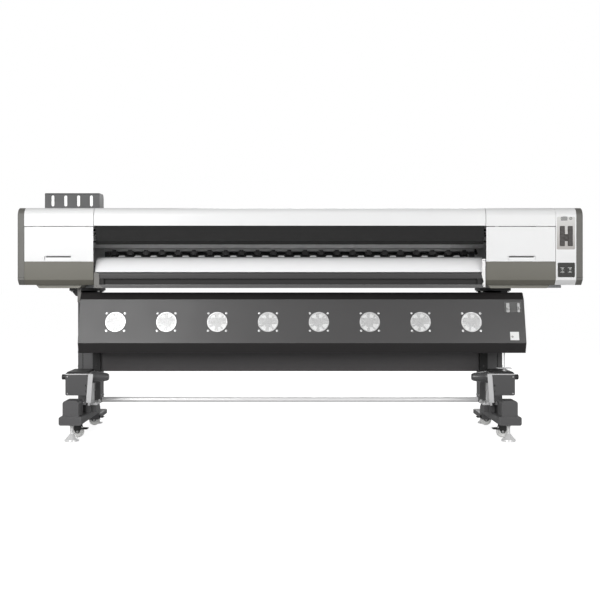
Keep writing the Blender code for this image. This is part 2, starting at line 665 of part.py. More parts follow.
def build_cross_members(grey, silver, steel):
    """The cross beam, the silver guide tube low between the legs, and the rear feed shaft."""
    reach = POST_OUT - POST_WALL - GAP
    beam = block((STAND_X - reach, 0.000, BEAM_LOW), (STAND_X + reach, 0.060, 0.455))
    piece("cross_beam", grey, [beam])

    half, journal = TUBE_END - GAP, 0.010
    profile = [(0, -half - journal), (0.006, -half - journal), (0.006, -half), (TUBE_R, -half)]
    profile += [(radius, -height) for radius, height in reversed(profile)]
    middle = (STAND_X, TUBE_Y, TUBE_Z)
    piece("guide_tube", silver, [turned(profile, middle, (1, 0, 0))], origin=middle)

    inner = FEED_ARM[0] - 2 * GAP
    half_feed = [
        (0, -inner - 0.006),
        (0.0125, -inner - 0.006),
        (0.0125, -inner),
        (0.019, -inner),
        (0.019, -0.930),
        (0.050, -0.930),
        (0.050, -0.922),
        (0.019, -0.905),
    ]
    profile = half_feed + [(radius, -height) for radius, height in reversed(half_feed)]
    middle = (STAND_X, FEED_Y, FEED_Z)
    piece("feed_shaft", steel, [turned(profile, middle, (1, 0, 0), 20)], origin=middle)


def build_takeup(side, dark, light, black):
    """One take-up unit: motor box, the sheet bracket that carries it, and the cone chuck."""
    sign = SIDES[side]
    box = side_block(side, BOX_X, BOX_Y, BOX_Z)
    bmesh.ops.bevel(
        box,
        geom=[e for e in box.edges if abs(e.verts[0].co.y - e.verts[1].co.y) < 1e-4],
        offset=0.006,
        affect="EDGES",
        segments=2,
        profile=0.5,
        material=-1,
    )
    knob_ends = sorted((side_x(side, BOX_X[1] - 0.002), side_x(side, BOX_X[1] + 0.034)))
    knob = rod((knob_ends[0], TAKEUP_Y, TAKEUP_Z), (knob_ends[1], TAKEUP_Y, TAKEUP_Z), 0.014, 16)
    piece(f"{side}_takeup_box", dark, [box, knob])

    base = (1.010, 1.093)
    solids = [
        side_block(side, PLATE_X, (-0.292, -0.160), (0.170, BOX_Z[1] + 0.006)),
        side_block(side, (PLATE_X[0], BOX_X[1] + 0.002), (-0.290, -0.160), (BOX_Z[1] + GAP, BOX_Z[1] + 0.006)),
        side_block(side, base, (-0.245, -0.120), (0.168, 0.178)),
        side_block(side, (base[0] + 0.010, base[1]), (-0.235, -0.130), (FOOT_Z[1] + GAP, 0.170)),
        side_block(side, (1.042, 1.066), (-0.258, -0.230), (FOOT_Z[1] + GAP, 0.184)),
    ]
    width, lean, flange_low = 0.025, 0.011, 0.186  # the front flange leans outwards towards the floor
    upper = (PLATE_X[1] - 0.0013, PLATE_X[1] - 0.0013 - width)
    flange = [(side_x(side, offset), BOX_Z[1] + 0.006) for offset in upper]
    flange += [(side_x(side, offset + lean), flange_low) for offset in reversed(upper)]
    solids.append(prism(flange, BOX_Y[0] - 0.0045, BOX_Y[0] - GAP, plane="xz"))
    if side == "right":
        rod_x, rod_y = side_x(side, 1.125), -0.225
        solids.append(rod((rod_x, rod_y, BOX_Z[1] + 0.004), (rod_x, rod_y, FAN_BOX_LOW - GAP), 0.003, 8))
    bore_ends = sorted((side_x(side, PLATE_X[0] - 0.01), side_x(side, PLATE_X[1] + 0.0003)))
    bore = rod((bore_ends[0], TAKEUP_Y, TAKEUP_Z), (bore_ends[1], TAKEUP_Y, TAKEUP_Z), 0.0105, 16)
    piece(f"{side}_takeup_bracket", light, solids, [bore])

    start = side_x(side, PLATE_X[1] - 0.001)
    chuck = [(0, 0), (0.0095, 0), (0.0095, 0.0085), (0.032, 0.0085), (0.032, 0.0185), (0.0300, 0.0210)]
    chuck += [(0.0185, 0.088), (0.0145, 0.094), (0, 0.094)]
    centre = (start, TAKEUP_Y, TAKEUP_Z)
    piece(f"{side}_takeup_chuck", black, [turned(chuck, centre, (-sign, 0, 0), 20)], origin=centre)


def build_caster(side, end, black, rubber):
    """A swivel caster seen from its side: cheeks either side of the wheel, and a brake pedal inwards."""
    inward = -SIDES[side]
    y = CASTER_Y[end]
    swivel = side_x(side, FOOT_CENTRE) - inward * WHEEL_TRAIL / 2
    top = CASTER_TOP[end]
    axle_z = WHEEL_R + 0.001
    pivot = (swivel, y, top)
    profile = [
        (-0.027, top - 0.002),
        (-0.027, top - 0.010),
        (WHEEL_TRAIL - 0.008, 0.024),
        (WHEEL_TRAIL + 0.007, 0.024),
        (0.032, 0.0440),
        (0.066, 0.0440),
        (0.066, 0.0505),
        (0.036, 0.0515),
        (0.031, top - 0.002),
    ]
    outline = [(swivel + inward * u, z) for u, z in profile]
    cheek_in, cheek_out = WHEEL_HALF + 0.0025, WHEEL_HALF + 0.0060
    cheeks = [prism(outline, y + s * cheek_in, y + s * cheek_out, plane="xz") for s in (-1, 1)]
    crown = rod((swivel, y, top - 0.008), (swivel, y, top), 0.028, 20)
    axle_x = swivel + inward * WHEEL_TRAIL
    pin_half = cheek_in + 0.001
    axle = rod((axle_x, y - pin_half, axle_z), (axle_x, y + pin_half, axle_z), 0.0045, 12)
    pedal_x = sorted((swivel + inward * 0.048, swivel + inward * 0.065))
    pedal = block((pedal_x[0], y - cheek_in - 0.001, 0.0450), (pedal_x[1], y + cheek_in + 0.001, 0.0500))
    solids = [crown, gathered(cheeks), axle, pedal]
    piece(f"{side}_{end}_caster_fork", black, solids, origin=pivot)

    ring = [(0.0052, -WHEEL_HALF), (WHEEL_R - 0.003, -WHEEL_HALF), (WHEEL_R, -WHEEL_HALF + 0.003)]
    ring += [(radius, -height) for radius, height in reversed(ring)]
    axle_point = (axle_x, y, axle_z)
    wheel = turned(ring, axle_point, (0, 1, 0), 24, ring=True)
    piece(f"{side}_{end}_caster_wheel", rubber, [wheel], origin=axle_point)


def build_leveller(side, end, chrome):
    """A screw foot: bell-shaped base and threaded stem, standing on the floor."""
    base = (side_x(side, FOOT_CENTRE), LEVELLER_Y[end], 0)
    profile = [(0, 0), (0.036, 0), (0.036, 0.006), (0.030, 0.013), (0.019, 0.026), (0.012, 0.036)]
    profile += [(STEM_R, 0.038), (STEM_R, 0.112), (0, 0.112)]
    piece(f"{side}_{end}_leveling_foot", chrome, [turned(profile, base, (0, 0, 1), 20)], origin=base)


def main():
    for obj in list(bpy.data.objects):
        bpy.data.objects.remove(obj)
    white = paint("white_shell", (0.86, 0.87, 0.88), 0.35)
    cap_grey = paint("warm_grey_shell", (0.21, 0.21, 0.18), 0.45)
    smoked = paint("smoked_acrylic", (0.02, 0.02, 0.02), 0.12)
    aluminium = paint("aluminium", (0.62, 0.62, 0.63), 0.35, 0.9)
    steel = paint("steel", (0.45, 0.45, 0.46), 0.35, 0.9)
    chrome = paint("chrome", (0.8, 0.8, 0.8), 0.1, 1.0)
    black = paint("black_plastic", (0.02, 0.02, 0.02), 0.45)
    dark = paint("charcoal_paint", (0.06, 0.055, 0.06), 0.45)
    stand_grey = paint("stand_grey_paint", (0.11, 0.11, 0.11), 0.5)
    light = paint("light_grey_paint", (0.55, 0.55, 0.56), 0.45)
    nylon = paint("pale_nylon", (0.75, 0.75, 0.74), 0.4)

    build_chassis(dark)
    build_rail_beam(aluminium)
    build_media_path(aluminium, white, dark)
    build_rollers(steel, black, dark)
    build_carriage(black, dark)
    build_hoods(white)
    lower_cover("left_lower_cover", cap_grey, (-CAP_X + GAP, OPENING[0] - GAP), (-1.375, -1.135))
    lower_cover("right_lower_cover", cap_grey, (OPENING[1] + GAP, COLUMN_X - GAP), (0.975, 1.300))
    end_cap("left_end_cap", cap_grey, -1)
    end_cap("right_end_cap", cap_grey, 1)
    door("left_door", white, (-CAP_X + 3 * GAP, OPENING[0] - 3 * GAP))
    door("right_door", white, (OPENING[1] + 3 * GAP, COLUMN_X - 3 * GAP))
    build_lid(white, smoked)
    build_ink(cap_grey, white)
    build_controls(white, black)
    build_fan_box(dark)
    build_fan_frames(black)
    build_impellers(black)
    build_cross_members(stand_grey, aluminium, steel)
    for side in SIDES:
        build_leg(side, stand_grey)
        build_takeup(side, stand_grey, light, black)
        for end in CASTER_Y:
            build_caster(side, end, black, nylon)
            build_leveller(side, end, chrome)


main()
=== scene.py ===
"""A roll-to-roll wide-format printer on a two-leg stand, with drying fans and a take-up, in a studio."""
import json
import math

import bmesh
import bpy
from mathutils import Matrix, Vector

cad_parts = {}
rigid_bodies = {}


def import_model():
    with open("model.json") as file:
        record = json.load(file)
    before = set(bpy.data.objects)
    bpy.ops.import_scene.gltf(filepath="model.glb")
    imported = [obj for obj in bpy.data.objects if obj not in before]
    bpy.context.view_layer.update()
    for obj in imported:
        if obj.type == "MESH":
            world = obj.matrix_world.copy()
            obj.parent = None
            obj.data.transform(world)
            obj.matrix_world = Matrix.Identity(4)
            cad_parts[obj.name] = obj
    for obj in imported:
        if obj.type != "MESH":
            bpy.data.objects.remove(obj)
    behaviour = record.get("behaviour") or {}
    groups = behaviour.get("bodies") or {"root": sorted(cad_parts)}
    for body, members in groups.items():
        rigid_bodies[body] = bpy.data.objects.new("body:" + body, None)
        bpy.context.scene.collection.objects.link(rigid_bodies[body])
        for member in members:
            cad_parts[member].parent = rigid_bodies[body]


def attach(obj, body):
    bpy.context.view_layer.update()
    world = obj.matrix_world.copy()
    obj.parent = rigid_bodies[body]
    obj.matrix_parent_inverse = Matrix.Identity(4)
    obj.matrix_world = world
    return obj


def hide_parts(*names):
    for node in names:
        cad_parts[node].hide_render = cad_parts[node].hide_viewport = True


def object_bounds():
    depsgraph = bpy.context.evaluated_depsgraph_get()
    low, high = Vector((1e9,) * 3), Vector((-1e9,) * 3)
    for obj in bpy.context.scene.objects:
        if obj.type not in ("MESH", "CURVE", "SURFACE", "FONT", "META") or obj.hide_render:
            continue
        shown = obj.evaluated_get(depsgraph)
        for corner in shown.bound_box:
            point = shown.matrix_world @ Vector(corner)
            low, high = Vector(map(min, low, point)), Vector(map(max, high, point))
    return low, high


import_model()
cad_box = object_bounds()
scene = bpy.context.scene

# The studio: a camera square to the machine's front at chest height, a pale seamless floor, a big soft
# light high at the front left, a weaker one at the right, and a bright even surround.
scene.view_settings.view_transform = "Standard"
view = bpy.data.cameras.new("front_view")
view.lens = 59.2
view.shift_x = 0.0167
view.shift_y = -0.0333
camera = bpy.data.objects.new("front_view", view)
camera.location = (-0.053, -5.41, 0.823)
camera.rotation_euler = (math.radians(90), 0, 0)
scene.collection.objects.link(camera)
scene.camera = camera


def soft_light(name, place, aim, size, power):
    """A large square lamp at one place, turned towards another."""
    lamp = bpy.data.lights.new(name, "AREA")
    lamp.shape = "SQUARE"
    lamp.size = size
    lamp.energy = power
    stand = bpy.data.objects.new(name, lamp)
    stand.location = place
    stand.rotation_euler = (Vector(aim) - Vector(place)).to_track_quat("-Z", "Y").to_euler()
    scene.collection.objects.link(stand)


soft_light("key_light", (-2.6, -5.4, 2.6), (-0.2, 0, 0.7), 3.0, 205)
soft_light("fill_light", (3.0, -5.4, 1.9), (0.3, 0, 0.6), 2.6, 84)
soft_light("rear_light", (0.5, 4.5, 3.2), (0, 0, 0.8), 3.0, 110)

surround = bpy.data.worlds.new("bright_surround")
surround.use_nodes = True
sky = surround.node_tree
direction = sky.nodes.new("ShaderNodeTexCoord")
height = sky.nodes.new("ShaderNodeSeparateXYZ")
sky.links.new(direction.outputs["Generated"], height.inputs[0])
fall_off = sky.nodes.new("ShaderNodeMapRange")
sky.links.new(height.outputs["Z"], fall_off.inputs["Value"])
fall_off.inputs["From Min"].default_value = 0.15
fall_off.inputs["From Max"].default_value = 0.9
fall_off.inputs["To Min"].default_value = 0.56
fall_off.inputs["To Max"].default_value = 0.18
seen = sky.nodes.new("ShaderNodeLightPath")
strength = sky.nodes.new("ShaderNodeMix")
sky.links.new(seen.outputs["Is Camera Ray"], strength.inputs["Factor"])
sky.links.new(fall_off.outputs["Result"], strength.inputs["A"])
strength.inputs["B"].default_value = 1.0
sky.links.new(strength.outputs["Result"], sky.nodes["Background"].inputs["Strength"])
sky.nodes["Background"].inputs["Color"].default_value = (1.0, 1.0, 1.0, 1)
scene.world = surround

floor_mesh = bpy.data.meshes.new("studio_floor")
sweep = bmesh.new()
bmesh.ops.create_grid(sweep, x_segments=1, y_segments=1, size=60)
bmesh.ops.translate(sweep, verts=sweep.verts, vec=(0, 0, cad_box[0].z - 0.0006))
sweep.to_mesh(floor_mesh)
sweep.free()
floor_paper = bpy.data.materials.new("floor_paper")
floor_paper.use_nodes = True
paper = floor_paper.node_tree
seen = paper.nodes.new("ShaderNodeLightPath")
paleness = paper.nodes.new("ShaderNodeMix")
paper.links.new(seen.outputs["Is Camera Ray"], paleness.inputs["Factor"])
paleness.inputs["A"].default_value = 0.5
paleness.inputs["B"].default_value = 0.3
glow = paper.nodes.new("ShaderNodeMath")
glow.operation = "MULTIPLY"
paper.links.new(seen.outputs["Is Camera Ray"], glow.inputs[0])
glow.inputs[1].default_value = 0.88
paper_shader = paper.nodes["Principled BSDF"]
paper.links.new(paleness.outputs["Result"], paper_shader.inputs["Base Color"])
paper.links.new(glow.outputs[0], paper_shader.inputs["Emission Strength"])
paper_shader.inputs["Emission Color"].default_value = (1.0, 1.0, 1.0, 1)
paper_shader.inputs["Roughness"].default_value = 0.9
floor_mesh.materials.append(floor_paper)
floor = bpy.data.objects.new("studio_floor", floor_mesh)
scene.collection.objects.link(floor)

# Hoods and rear cover: 3 mm steel sheet folded over the top of the machine, round at the front edge and
# tighter at the rear one. Powder-coated satin white, and screwed to the chassis from behind.
OPENING = (-1.0685, 0.9605)
COLUMN_X = 1.321
CAP_X = 1.4277
FRONT, REAR, TOP, BAND = -0.310, 0.300, 1.198, 1.100
SHEET = 0.003
SEAM = 0.0005


def start_group(name, takes, gives):
    """A shader group with its named inputs and outputs, and the nodes at its two ends."""
    group = bpy.data.node_groups.new(name, "ShaderNodeTree")
    for label, kind, value in takes:
        socket = group.interface.new_socket(name=label, in_out="INPUT", socket_type=kind)
        socket.default_value = value
    for label, kind in gives:
        group.interface.new_socket(name=label, in_out="OUTPUT", socket_type=kind)
    return group, group.nodes.new("NodeGroupInput").outputs, group.nodes.new("NodeGroupOutput").inputs


def add_node(tree, kind, feeds=(), **settings):
    """A node with its settings, and its inputs joined to a socket or set to a value."""
    node = tree.nodes.new(kind)
    for key, value in settings.items():
        setattr(node, key, value)
    for socket, source in feeds:
        if isinstance(source, bpy.types.NodeSocket):
            tree.links.new(source, node.inputs[socket])
        else:
            node.inputs[socket].default_value = source
    return node


def object_noise(tree, scale, detail=2.0, stretch=None):
    """Noise in the machine's own metres; scale is its cells per metre."""
    place = add_node(tree, "ShaderNodeTexCoord").outputs["Object"]
    if stretch is not None:
        place = add_node(tree, "ShaderNodeMapping", [("Vector", place), ("Scale", stretch)]).outputs[0]
    noise = add_node(tree, "ShaderNodeTexNoise", [("Vector", place), ("Scale", scale), ("Detail", detail)])
    return noise.outputs["Fac"]


# Edge wear: where a rounded normal leans away from the surface's own, broken up by noise
edge_wear, takes, gives = start_group(
    "edge_wear",
    [("Radius", "NodeSocketFloat", 0.002), ("Amount", "NodeSocketFloat", 0.5)],
    [("Mask", "NodeSocketFloat")],
)
rounded = add_node(edge_wear, "ShaderNodeBevel", [("Radius", takes["Radius"])], samples=4)
own = add_node(edge_wear, "ShaderNodeNewGeometry")
lean = add_node(
    edge_wear, "ShaderNodeVectorMath", [(0, rounded.outputs[0]), (1, own.outputs["Normal"])],
    operation="DOT_PRODUCT"
)
away = add_node(edge_wear, "ShaderNodeMath", [(0, 1.0), (1, lean.outputs["Value"])], operation="SUBTRACT")
patchy = object_noise(edge_wear, 90.0, 4.0)
chips = add_node(edge_wear, "ShaderNodeMath", [(0, away.outputs[0]), (1, patchy)], operation="MULTIPLY")
strong = add_node(edge_wear, "ShaderNodeMath", [(0, chips.outputs[0]), (1, 9.0)], operation="MULTIPLY")
kept = add_node(
    edge_wear, "ShaderNodeMath", [(0, strong.outputs[0]), (1, takes["Amount"])], operation="MULTIPLY",
    use_clamp=True
)
edge_wear.links.new(kept.outputs[0], gives["Mask"])

# Grain: the fine orange peel of powder coat or the spark texture of a moulding
fine_grain, takes, gives = start_group(
    "fine_grain",
    [("Cells per metre", "NodeSocketFloat", 900.0), ("Sharpness", "NodeSocketFloat", 1.0)],
    [("Height", "NodeSocketFloat"), ("Tone", "NodeSocketFloat")],
)
peel = object_noise(fine_grain, 900.0, 3.0)
fine_grain.links.new(takes["Cells per metre"], peel.node.inputs["Scale"])
crisp = add_node(fine_grain, "ShaderNodeMath", [(0, peel), (1, takes["Sharpness"])], operation="POWER")
broad = object_noise(fine_grain, 7.0, 3.0)
fine_grain.links.new(crisp.outputs[0], gives["Height"])
fine_grain.links.new(broad, gives["Tone"])

# Colour drift: a slow change between two close shades over tens of centimetres, with fine specks
colour_drift, takes, gives = start_group(
    "colour_drift",
    [
        ("Colour", "NodeSocketColor", (0.8, 0.8, 0.8, 1)),
        ("Shade", "NodeSocketColor", (0.7, 0.7, 0.7, 1)),
        ("Patches per metre", "NodeSocketFloat", 3.0),
    ],
    [("Colour", "NodeSocketColor")],
)
slow = object_noise(colour_drift, 3.0, 3.0)
colour_drift.links.new(takes["Patches per metre"], slow.node.inputs["Scale"])
specks = object_noise(colour_drift, 1400.0, 1.0)
share = add_node(colour_drift, "ShaderNodeMath", [(0, slow), (1, 0.75), (2, 0.0)], operation="MULTIPLY_ADD")
speckled = add_node(
    colour_drift, "ShaderNodeMath", [(0, specks), (1, 0.25), (2, share.outputs[0])], operation="MULTIPLY_ADD"
)
between = add_node(
    colour_drift,
    "ShaderNodeMix",
    [(0, speckled.outputs[0]), (6, takes["Colour"]), (7, takes["Shade"])],
    data_type="RGBA",
)
colour_drift.links.new(between.outputs[2], gives["Colour"])

# Settled dust: thin on upward faces, gathered unevenly
settled_dust, takes, gives = start_group(
    "settled_dust", [("Amount", "NodeSocketFloat", 0.2)], [("Mask", "NodeSocketFloat")]
)
facing = add_node(settled_dust, "ShaderNodeNewGeometry")
parts = add_node(settled_dust, "ShaderNodeSeparateXYZ", [(0, facing.outputs["Normal"])])
upward = add_node(settled_dust, "ShaderNodeMapRange", [(0, parts.outputs["Z"]), (1, 0.6), (2, 1.0)])
drifts = object_noise(settled_dust, 14.0, 5.0)
lying = add_node(settled_dust, "ShaderNodeMath", [(0, upward.outputs[0]), (1, drifts)], operation="MULTIPLY")
thin = add_node(
    settled_dust, "ShaderNodeMath", [(0, lying.outputs[0]), (1, takes["Amount"])], operation="MULTIPLY",
    use_clamp=True
)
settled_dust.links.new(thin.outputs[0], gives["Mask"])


def use_group(tree, group, **values):
    """Places a group in a material with its own values; underscores stand for spaces in socket names."""
    node = tree.nodes.new("ShaderNodeGroup")
    node.node_tree = group
    for key, value in values.items():
        node.inputs[key.replace("_", " ")].default_value = value
    return node


def coated(
    name, colour, shade, roughness, cells=900.0, relief=0.00004, worn=(0.5, 0.5, 0.5), wear=0.25, dust=0.05,
    coat=0.0, metallic=0.0, edge=0.0015,
):
    """A coated or moulded finish: drifting colour, fine grain, rubbed edges and a trace of dust."""
    finish = bpy.data.materials.new(name)
    finish.use_nodes = True
    tree = finish.node_tree
    shader = tree.nodes["Principled BSDF"]
    shader.inputs["Metallic"].default_value = metallic
    shader.inputs["Coat Weight"].default_value = coat
    shader.inputs["Coat Roughness"].default_value = 0.12
    drift = use_group(tree, colour_drift, Colour=(*colour, 1), Shade=(*shade, 1))
    rubbed = use_group(tree, edge_wear, Radius=edge, Amount=wear)
    powder = use_group(tree, settled_dust, Amount=dust)
    grain = use_group(tree, fine_grain, Cells_per_metre=cells)
    on_edges = add_node(
        tree, "ShaderNodeMix", [(0, rubbed.outputs[0]), (6, drift.outputs[0]), (7, (*worn, 1))],
        data_type="RGBA"
    )
    dusty = add_node(
        tree,
        "ShaderNodeMix",
        [(0, powder.outputs[0]), (6, on_edges.outputs[2]), (7, (0.42, 0.41, 0.39, 1))],
        data_type="RGBA",
    )
    gloss = add_node(
        tree, "ShaderNodeMapRange", [(0, grain.outputs["Tone"]), (3, roughness - 0.06), (4, roughness + 0.08)]
    )
    relief_node = add_node(
        tree, "ShaderNodeBump", [("Height", grain.outputs["Height"]), ("Distance", relief), ("Strength", 0.8)]
    )
    tree.links.new(dusty.outputs[2], shader.inputs["Base Color"])
    tree.links.new(gloss.outputs[0], shader.inputs["Roughness"])
    tree.links.new(relief_node.outputs[0], shader.inputs["Normal"])
    return finish


def folded_sheet(points, folds, x_range, thickness, outward):
    """A sheet bent along X: its outer line in Y and Z, the radius at each corner, and the way out."""
    shape = bmesh.new()
    corners = [shape.verts.new((x_range[0], y, z)) for y, z in points]
    line = [shape.edges.new(pair) for pair in zip(corners, corners[1:])]
    grown = bmesh.ops.extrude_edge_only(shape, edges=line)["geom"]
    far = [item for item in grown if isinstance(item, bmesh.types.BMVert)]
    bmesh.ops.translate(shape, verts=far, vec=(x_range[1] - x_range[0], 0, 0))
    bmesh.ops.recalc_face_normals(shape, faces=shape.faces)
    shape.normal_update()
    first = min(shape.faces, key=lambda f: (f.calc_center_median() - Vector((0, *points[0]))).yz.length)
    if first.normal.dot(Vector(outward)) < 0:
        bmesh.ops.reverse_faces(shape, faces=shape.faces)
    for i, radius in enumerate(folds, start=1):
        if radius:
            here = Vector(points[i])
            turn = (here - Vector(points[i - 1])).angle(Vector(points[i + 1]) - here)
            fold = [e for e in shape.edges if all((v.co.yz - here).length < 1e-6 for v in e.verts)]
            bmesh.ops.bevel(
                shape, geom=fold, offset=radius * math.tan(turn / 2), offset_type="OFFSET",
                segments=max(2, round(math.degrees(turn) / 9)), profile=0.5, affect="EDGES", material=-1,
            )
    bmesh.ops.solidify(shape, geom=shape.faces[:], thickness=thickness)
    return shape


def finish_piece(name, shape, finish, body, replaced=(), edge=0.0008, smooth=32, segments=2):
    """Makes an object of a bmesh, softens its edges, and lets it ride on a body in place of CAD nodes."""
    mesh = bpy.data.meshes.new(name)
    shape.to_mesh(mesh)
    shape.free()
    mesh.materials.append(finish)
    mesh.shade_smooth()
    mesh.set_sharp_from_angle(angle=math.radians(smooth))
    made = bpy.data.objects.new(name, mesh)
    scene.collection.objects.link(made)
    if edge:
        soften = made.modifiers.new("soft_edges", "BEVEL")
        soften.width = edge
        soften.segments = segments
        soften.limit_method = "ANGLE"
        soften.angle_limit = math.radians(smooth)
        soften.harden_normals = True
    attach(made, body)
    if replaced:
        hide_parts(*replaced)
    return made


white_coat = coated("white_powder_coat", (0.83, 0.835, 0.84), (0.80, 0.80, 0.795), 0.36, worn=(0.7, 0.7, 0.7),
                    wear=0.15, dust=0.03, coat=0.15)
for side, (near, far) in {
    "left": (-CAP_X + SEAM, OPENING[0] - SEAM),
    "right": (OPENING[1] + SEAM, COLUMN_X - SEAM),
}.items():
    hood = folded_sheet(
        [(FRONT, BAND + 0.0015), (FRONT, TOP), (REAR, TOP), (REAR, 0.800)],
        [0.045, 0.020], (near, far), SHEET, (0, -1, 0),
    )
    finish_piece(f"{side}_hood_shell", hood, white_coat, "main_frame", [f"{side}_hood"])

rear_panel = folded_sheet(
    [(0.1205, TOP), (REAR, TOP), (REAR, 0.985)], [0.020], (OPENING[0] + SEAM, OPENING[1] - SEAM), SHEET,
    (0, 0, 1)
)
finish_piece("rear_cover_shell", rear_panel, white_coat, "main_frame", ["rear_cover"])

# Front lid: the same sheet between the hoods, from a lip above the opening back to a row of butt hinges.
# It lifts as one piece with the window, on hinges whose fixed leaves are screwed to the rear cover.
LID_X = (OPENING[0] + 0.0015, OPENING[1] - 0.0015)
HINGE_Y = 0.120


def slab(low, high):
    """A box between two corners."""
    shape = bmesh.new()
    low, high = Vector(low), Vector(high)
    bmesh.ops.create_cube(shape, size=1)
    bmesh.ops.scale(shape, vec=high - low, verts=shape.verts)
    bmesh.ops.translate(shape, vec=(low + high) / 2, verts=shape.verts)
    return shape


def bar(start, end, radius, sides=16, far_radius=None):
    """A round bar or cone between two points."""
    shape = bmesh.new()
    run = Vector(end) - Vector(start)
    bmesh.ops.create_cone(
        shape, cap_ends=True, segments=sides, radius1=radius,
        radius2=radius if far_radius is None else far_radius, depth=run.length,
    )
    turn = Vector((0, 0, 1)).rotation_difference(run).to_matrix().to_4x4()
    bmesh.ops.transform(shape, matrix=Matrix.Translation(Vector(start) + run / 2) @ turn, verts=shape.verts)
    return shape


def joined(*shapes):
    """Several bmeshes gathered into one; each stays its own closed body."""
    whole = bmesh.new()
    for shape in shapes:
        carrier = bpy.data.meshes.new("carrier")
        shape.to_mesh(carrier)
        shape.free()
        whole.from_mesh(carrier)
        bpy.data.meshes.remove(carrier)
    return whole


def round_along(shape, axis, radius, segments=4, test=None):
    """Rounds the edges that run along one axis, or those of them that a test picks."""
    along = [
        e for e in shape.edges
        if abs((e.verts[0].co - e.verts[1].co).normalized()[axis]) > 0.99
        and (test is None or test((e.verts[0].co + e.verts[1].co) / 2))
    ]
    bmesh.ops.bevel(
        shape, geom=along, offset=radius, offset_type="OFFSET", segments=segments, profile=0.5,
        affect="EDGES", material=-1,
    )
    return shape


def dome_screw(place, outward, radius):
    """A pan-head screw with a cross recess suggested by a dimple, on a thin washer."""
    shape = bmesh.new()
    profile = [(0, 0.30), (0.28, 0.30), (0.36, 0.62), (0.62, 0.56), (0.90, 0.34), (1.0, 0.12), (1.25, 0.10),
               (1.25, -0.05)]
    line = [shape.verts.new((r * radius, 0, h * radius)) for r, h in profile]
    runs = [shape.edges.new(pair) for pair in zip(line, line[1:])]
    bmesh.ops.spin(shape, geom=line + runs, axis=(0, 0, 1), angle=math.tau, steps=12, use_merge=True)
    bmesh.ops.remove_doubles(shape, verts=shape.verts, dist=radius * 1e-3)
    bmesh.ops.recalc_face_normals(shape, faces=shape.faces)
    turn = Vector((0, 0, 1)).rotation_difference(Vector(outward)).to_matrix().to_4x4()
    bmesh.ops.transform(shape, matrix=Matrix.Translation(place) @ turn, verts=shape.verts)
    return shape


zinc_plate = coated("zinc_plate", (0.62, 0.62, 0.61), (0.52, 0.52, 0.52), 0.33, cells=1500, relief=0.00002,
                    worn=(0.75, 0.75, 0.75), wear=0.3, metallic=0.9)
lid_band = folded_sheet([(FRONT, 1.104), (FRONT, TOP), (HINGE_Y - 0.0005, TOP)], [0.045], LID_X, SHEET,
                        (0, -1, 0))
finish_piece("lid_shell", lid_band, white_coat, "lid", ["front_lid"])
fixed_leaves, moving_leaves = [], []
for x in (-0.92, -0.34, 0.24, 0.82):
    fixed_leaves += [
        slab((x - 0.03, HINGE_Y, TOP), (x + 0.03, HINGE_Y + 0.024, TOP + 0.0015)),
        bar((x - 0.030, HINGE_Y, TOP), (x - 0.0105, HINGE_Y, TOP), 0.004),
        bar((x + 0.0105, HINGE_Y, TOP), (x + 0.030, HINGE_Y, TOP), 0.004),
        dome_screw((x - 0.018, HINGE_Y + 0.015, TOP + 0.0015), (0, 0, 1), 0.0028),
        dome_screw((x + 0.018, HINGE_Y + 0.015, TOP + 0.0015), (0, 0, 1), 0.0028),
    ]
    moving_leaves += [
        slab((x - 0.03, HINGE_Y - 0.024, TOP), (x + 0.03, HINGE_Y, TOP + 0.0015)),
        bar((x - 0.010, HINGE_Y, TOP), (x + 0.010, HINGE_Y, TOP), 0.004),
        dome_screw((x - 0.018, HINGE_Y - 0.015, TOP + 0.0015), (0, 0, 1), 0.0028),
        dome_screw((x + 0.018, HINGE_Y - 0.015, TOP + 0.0015), (0, 0, 1), 0.0028),
    ]
finish_piece("lid_hinge_fixed_leaves", joined(*fixed_leaves), zinc_plate, "main_frame",
             edge=0.0003)
finish_piece("lid_hinge_moving_leaves", joined(*moving_leaves), zinc_plate, "lid",
             edge=0.0003)

# Smoked window: one 4 mm acrylic sheet bent under the lid's lip, with a black edging along its lower edge that
# also paints the shadow line under that edge.
# It hangs inside the band and lifts with the lid.
WINDOW_X = (LID_X[0] + 0.004, LID_X[1] - 0.004)
smoked = bpy.data.materials.new("smoked_window")
smoked.use_nodes = True
tree = smoked.node_tree
shader = tree.nodes["Principled BSDF"]
shader.inputs["Metallic"].default_value = 0.0
shader.inputs["Transmission Weight"].default_value = 0.35
shader.inputs["IOR"].default_value = 1.49
tint = use_group(tree, colour_drift, Colour=(0.026, 0.026, 0.026, 1), Shade=(0.034, 0.034, 0.034, 1))
hazy = use_group(tree, fine_grain, Cells_per_metre=40.0)
gloss = add_node(tree, "ShaderNodeMapRange", [("Value", hazy.outputs["Tone"]), (3, 0.16), (4, 0.30)])
swell = add_node(tree, "ShaderNodeBump",
                 [("Height", hazy.outputs["Tone"]), ("Distance", 0.0004), ("Strength", 0.4)])
tree.links.new(tint.outputs[0], shader.inputs["Base Color"])
tree.links.new(gloss.outputs[0], shader.inputs["Roughness"])
tree.links.new(swell.outputs[0], shader.inputs["Normal"])
window = folded_sheet(
    [(-0.2680, 1.0120), (-0.2950, 1.0900), (-0.3060, 1.1060), (-0.3060, 1.1300)], [0.030, 0.020], WINDOW_X,
    0.004,
    (0, -1, 0),
)
finish_piece("smoked_window_sheet", window, smoked, "lid", ["lid_window"], edge=0.0006)
soft_black = coated("black_moulding", (0.012, 0.012, 0.012), (0.020, 0.020, 0.020), 0.42, cells=1200,
                    relief=0.00005,
                    worn=(0.10, 0.10, 0.10), wear=0.2, dust=0.06)
# The near-black edging along the window's foot: a trim, and also painted shadow under the window's edge.
edging_and_shadow = folded_sheet(
    [(-0.2640, 1.0085), (-0.2704, 1.0085), (-0.2758, 1.0215)], [0.0012], WINDOW_X, 0.0012, (0, 0, -1)
)
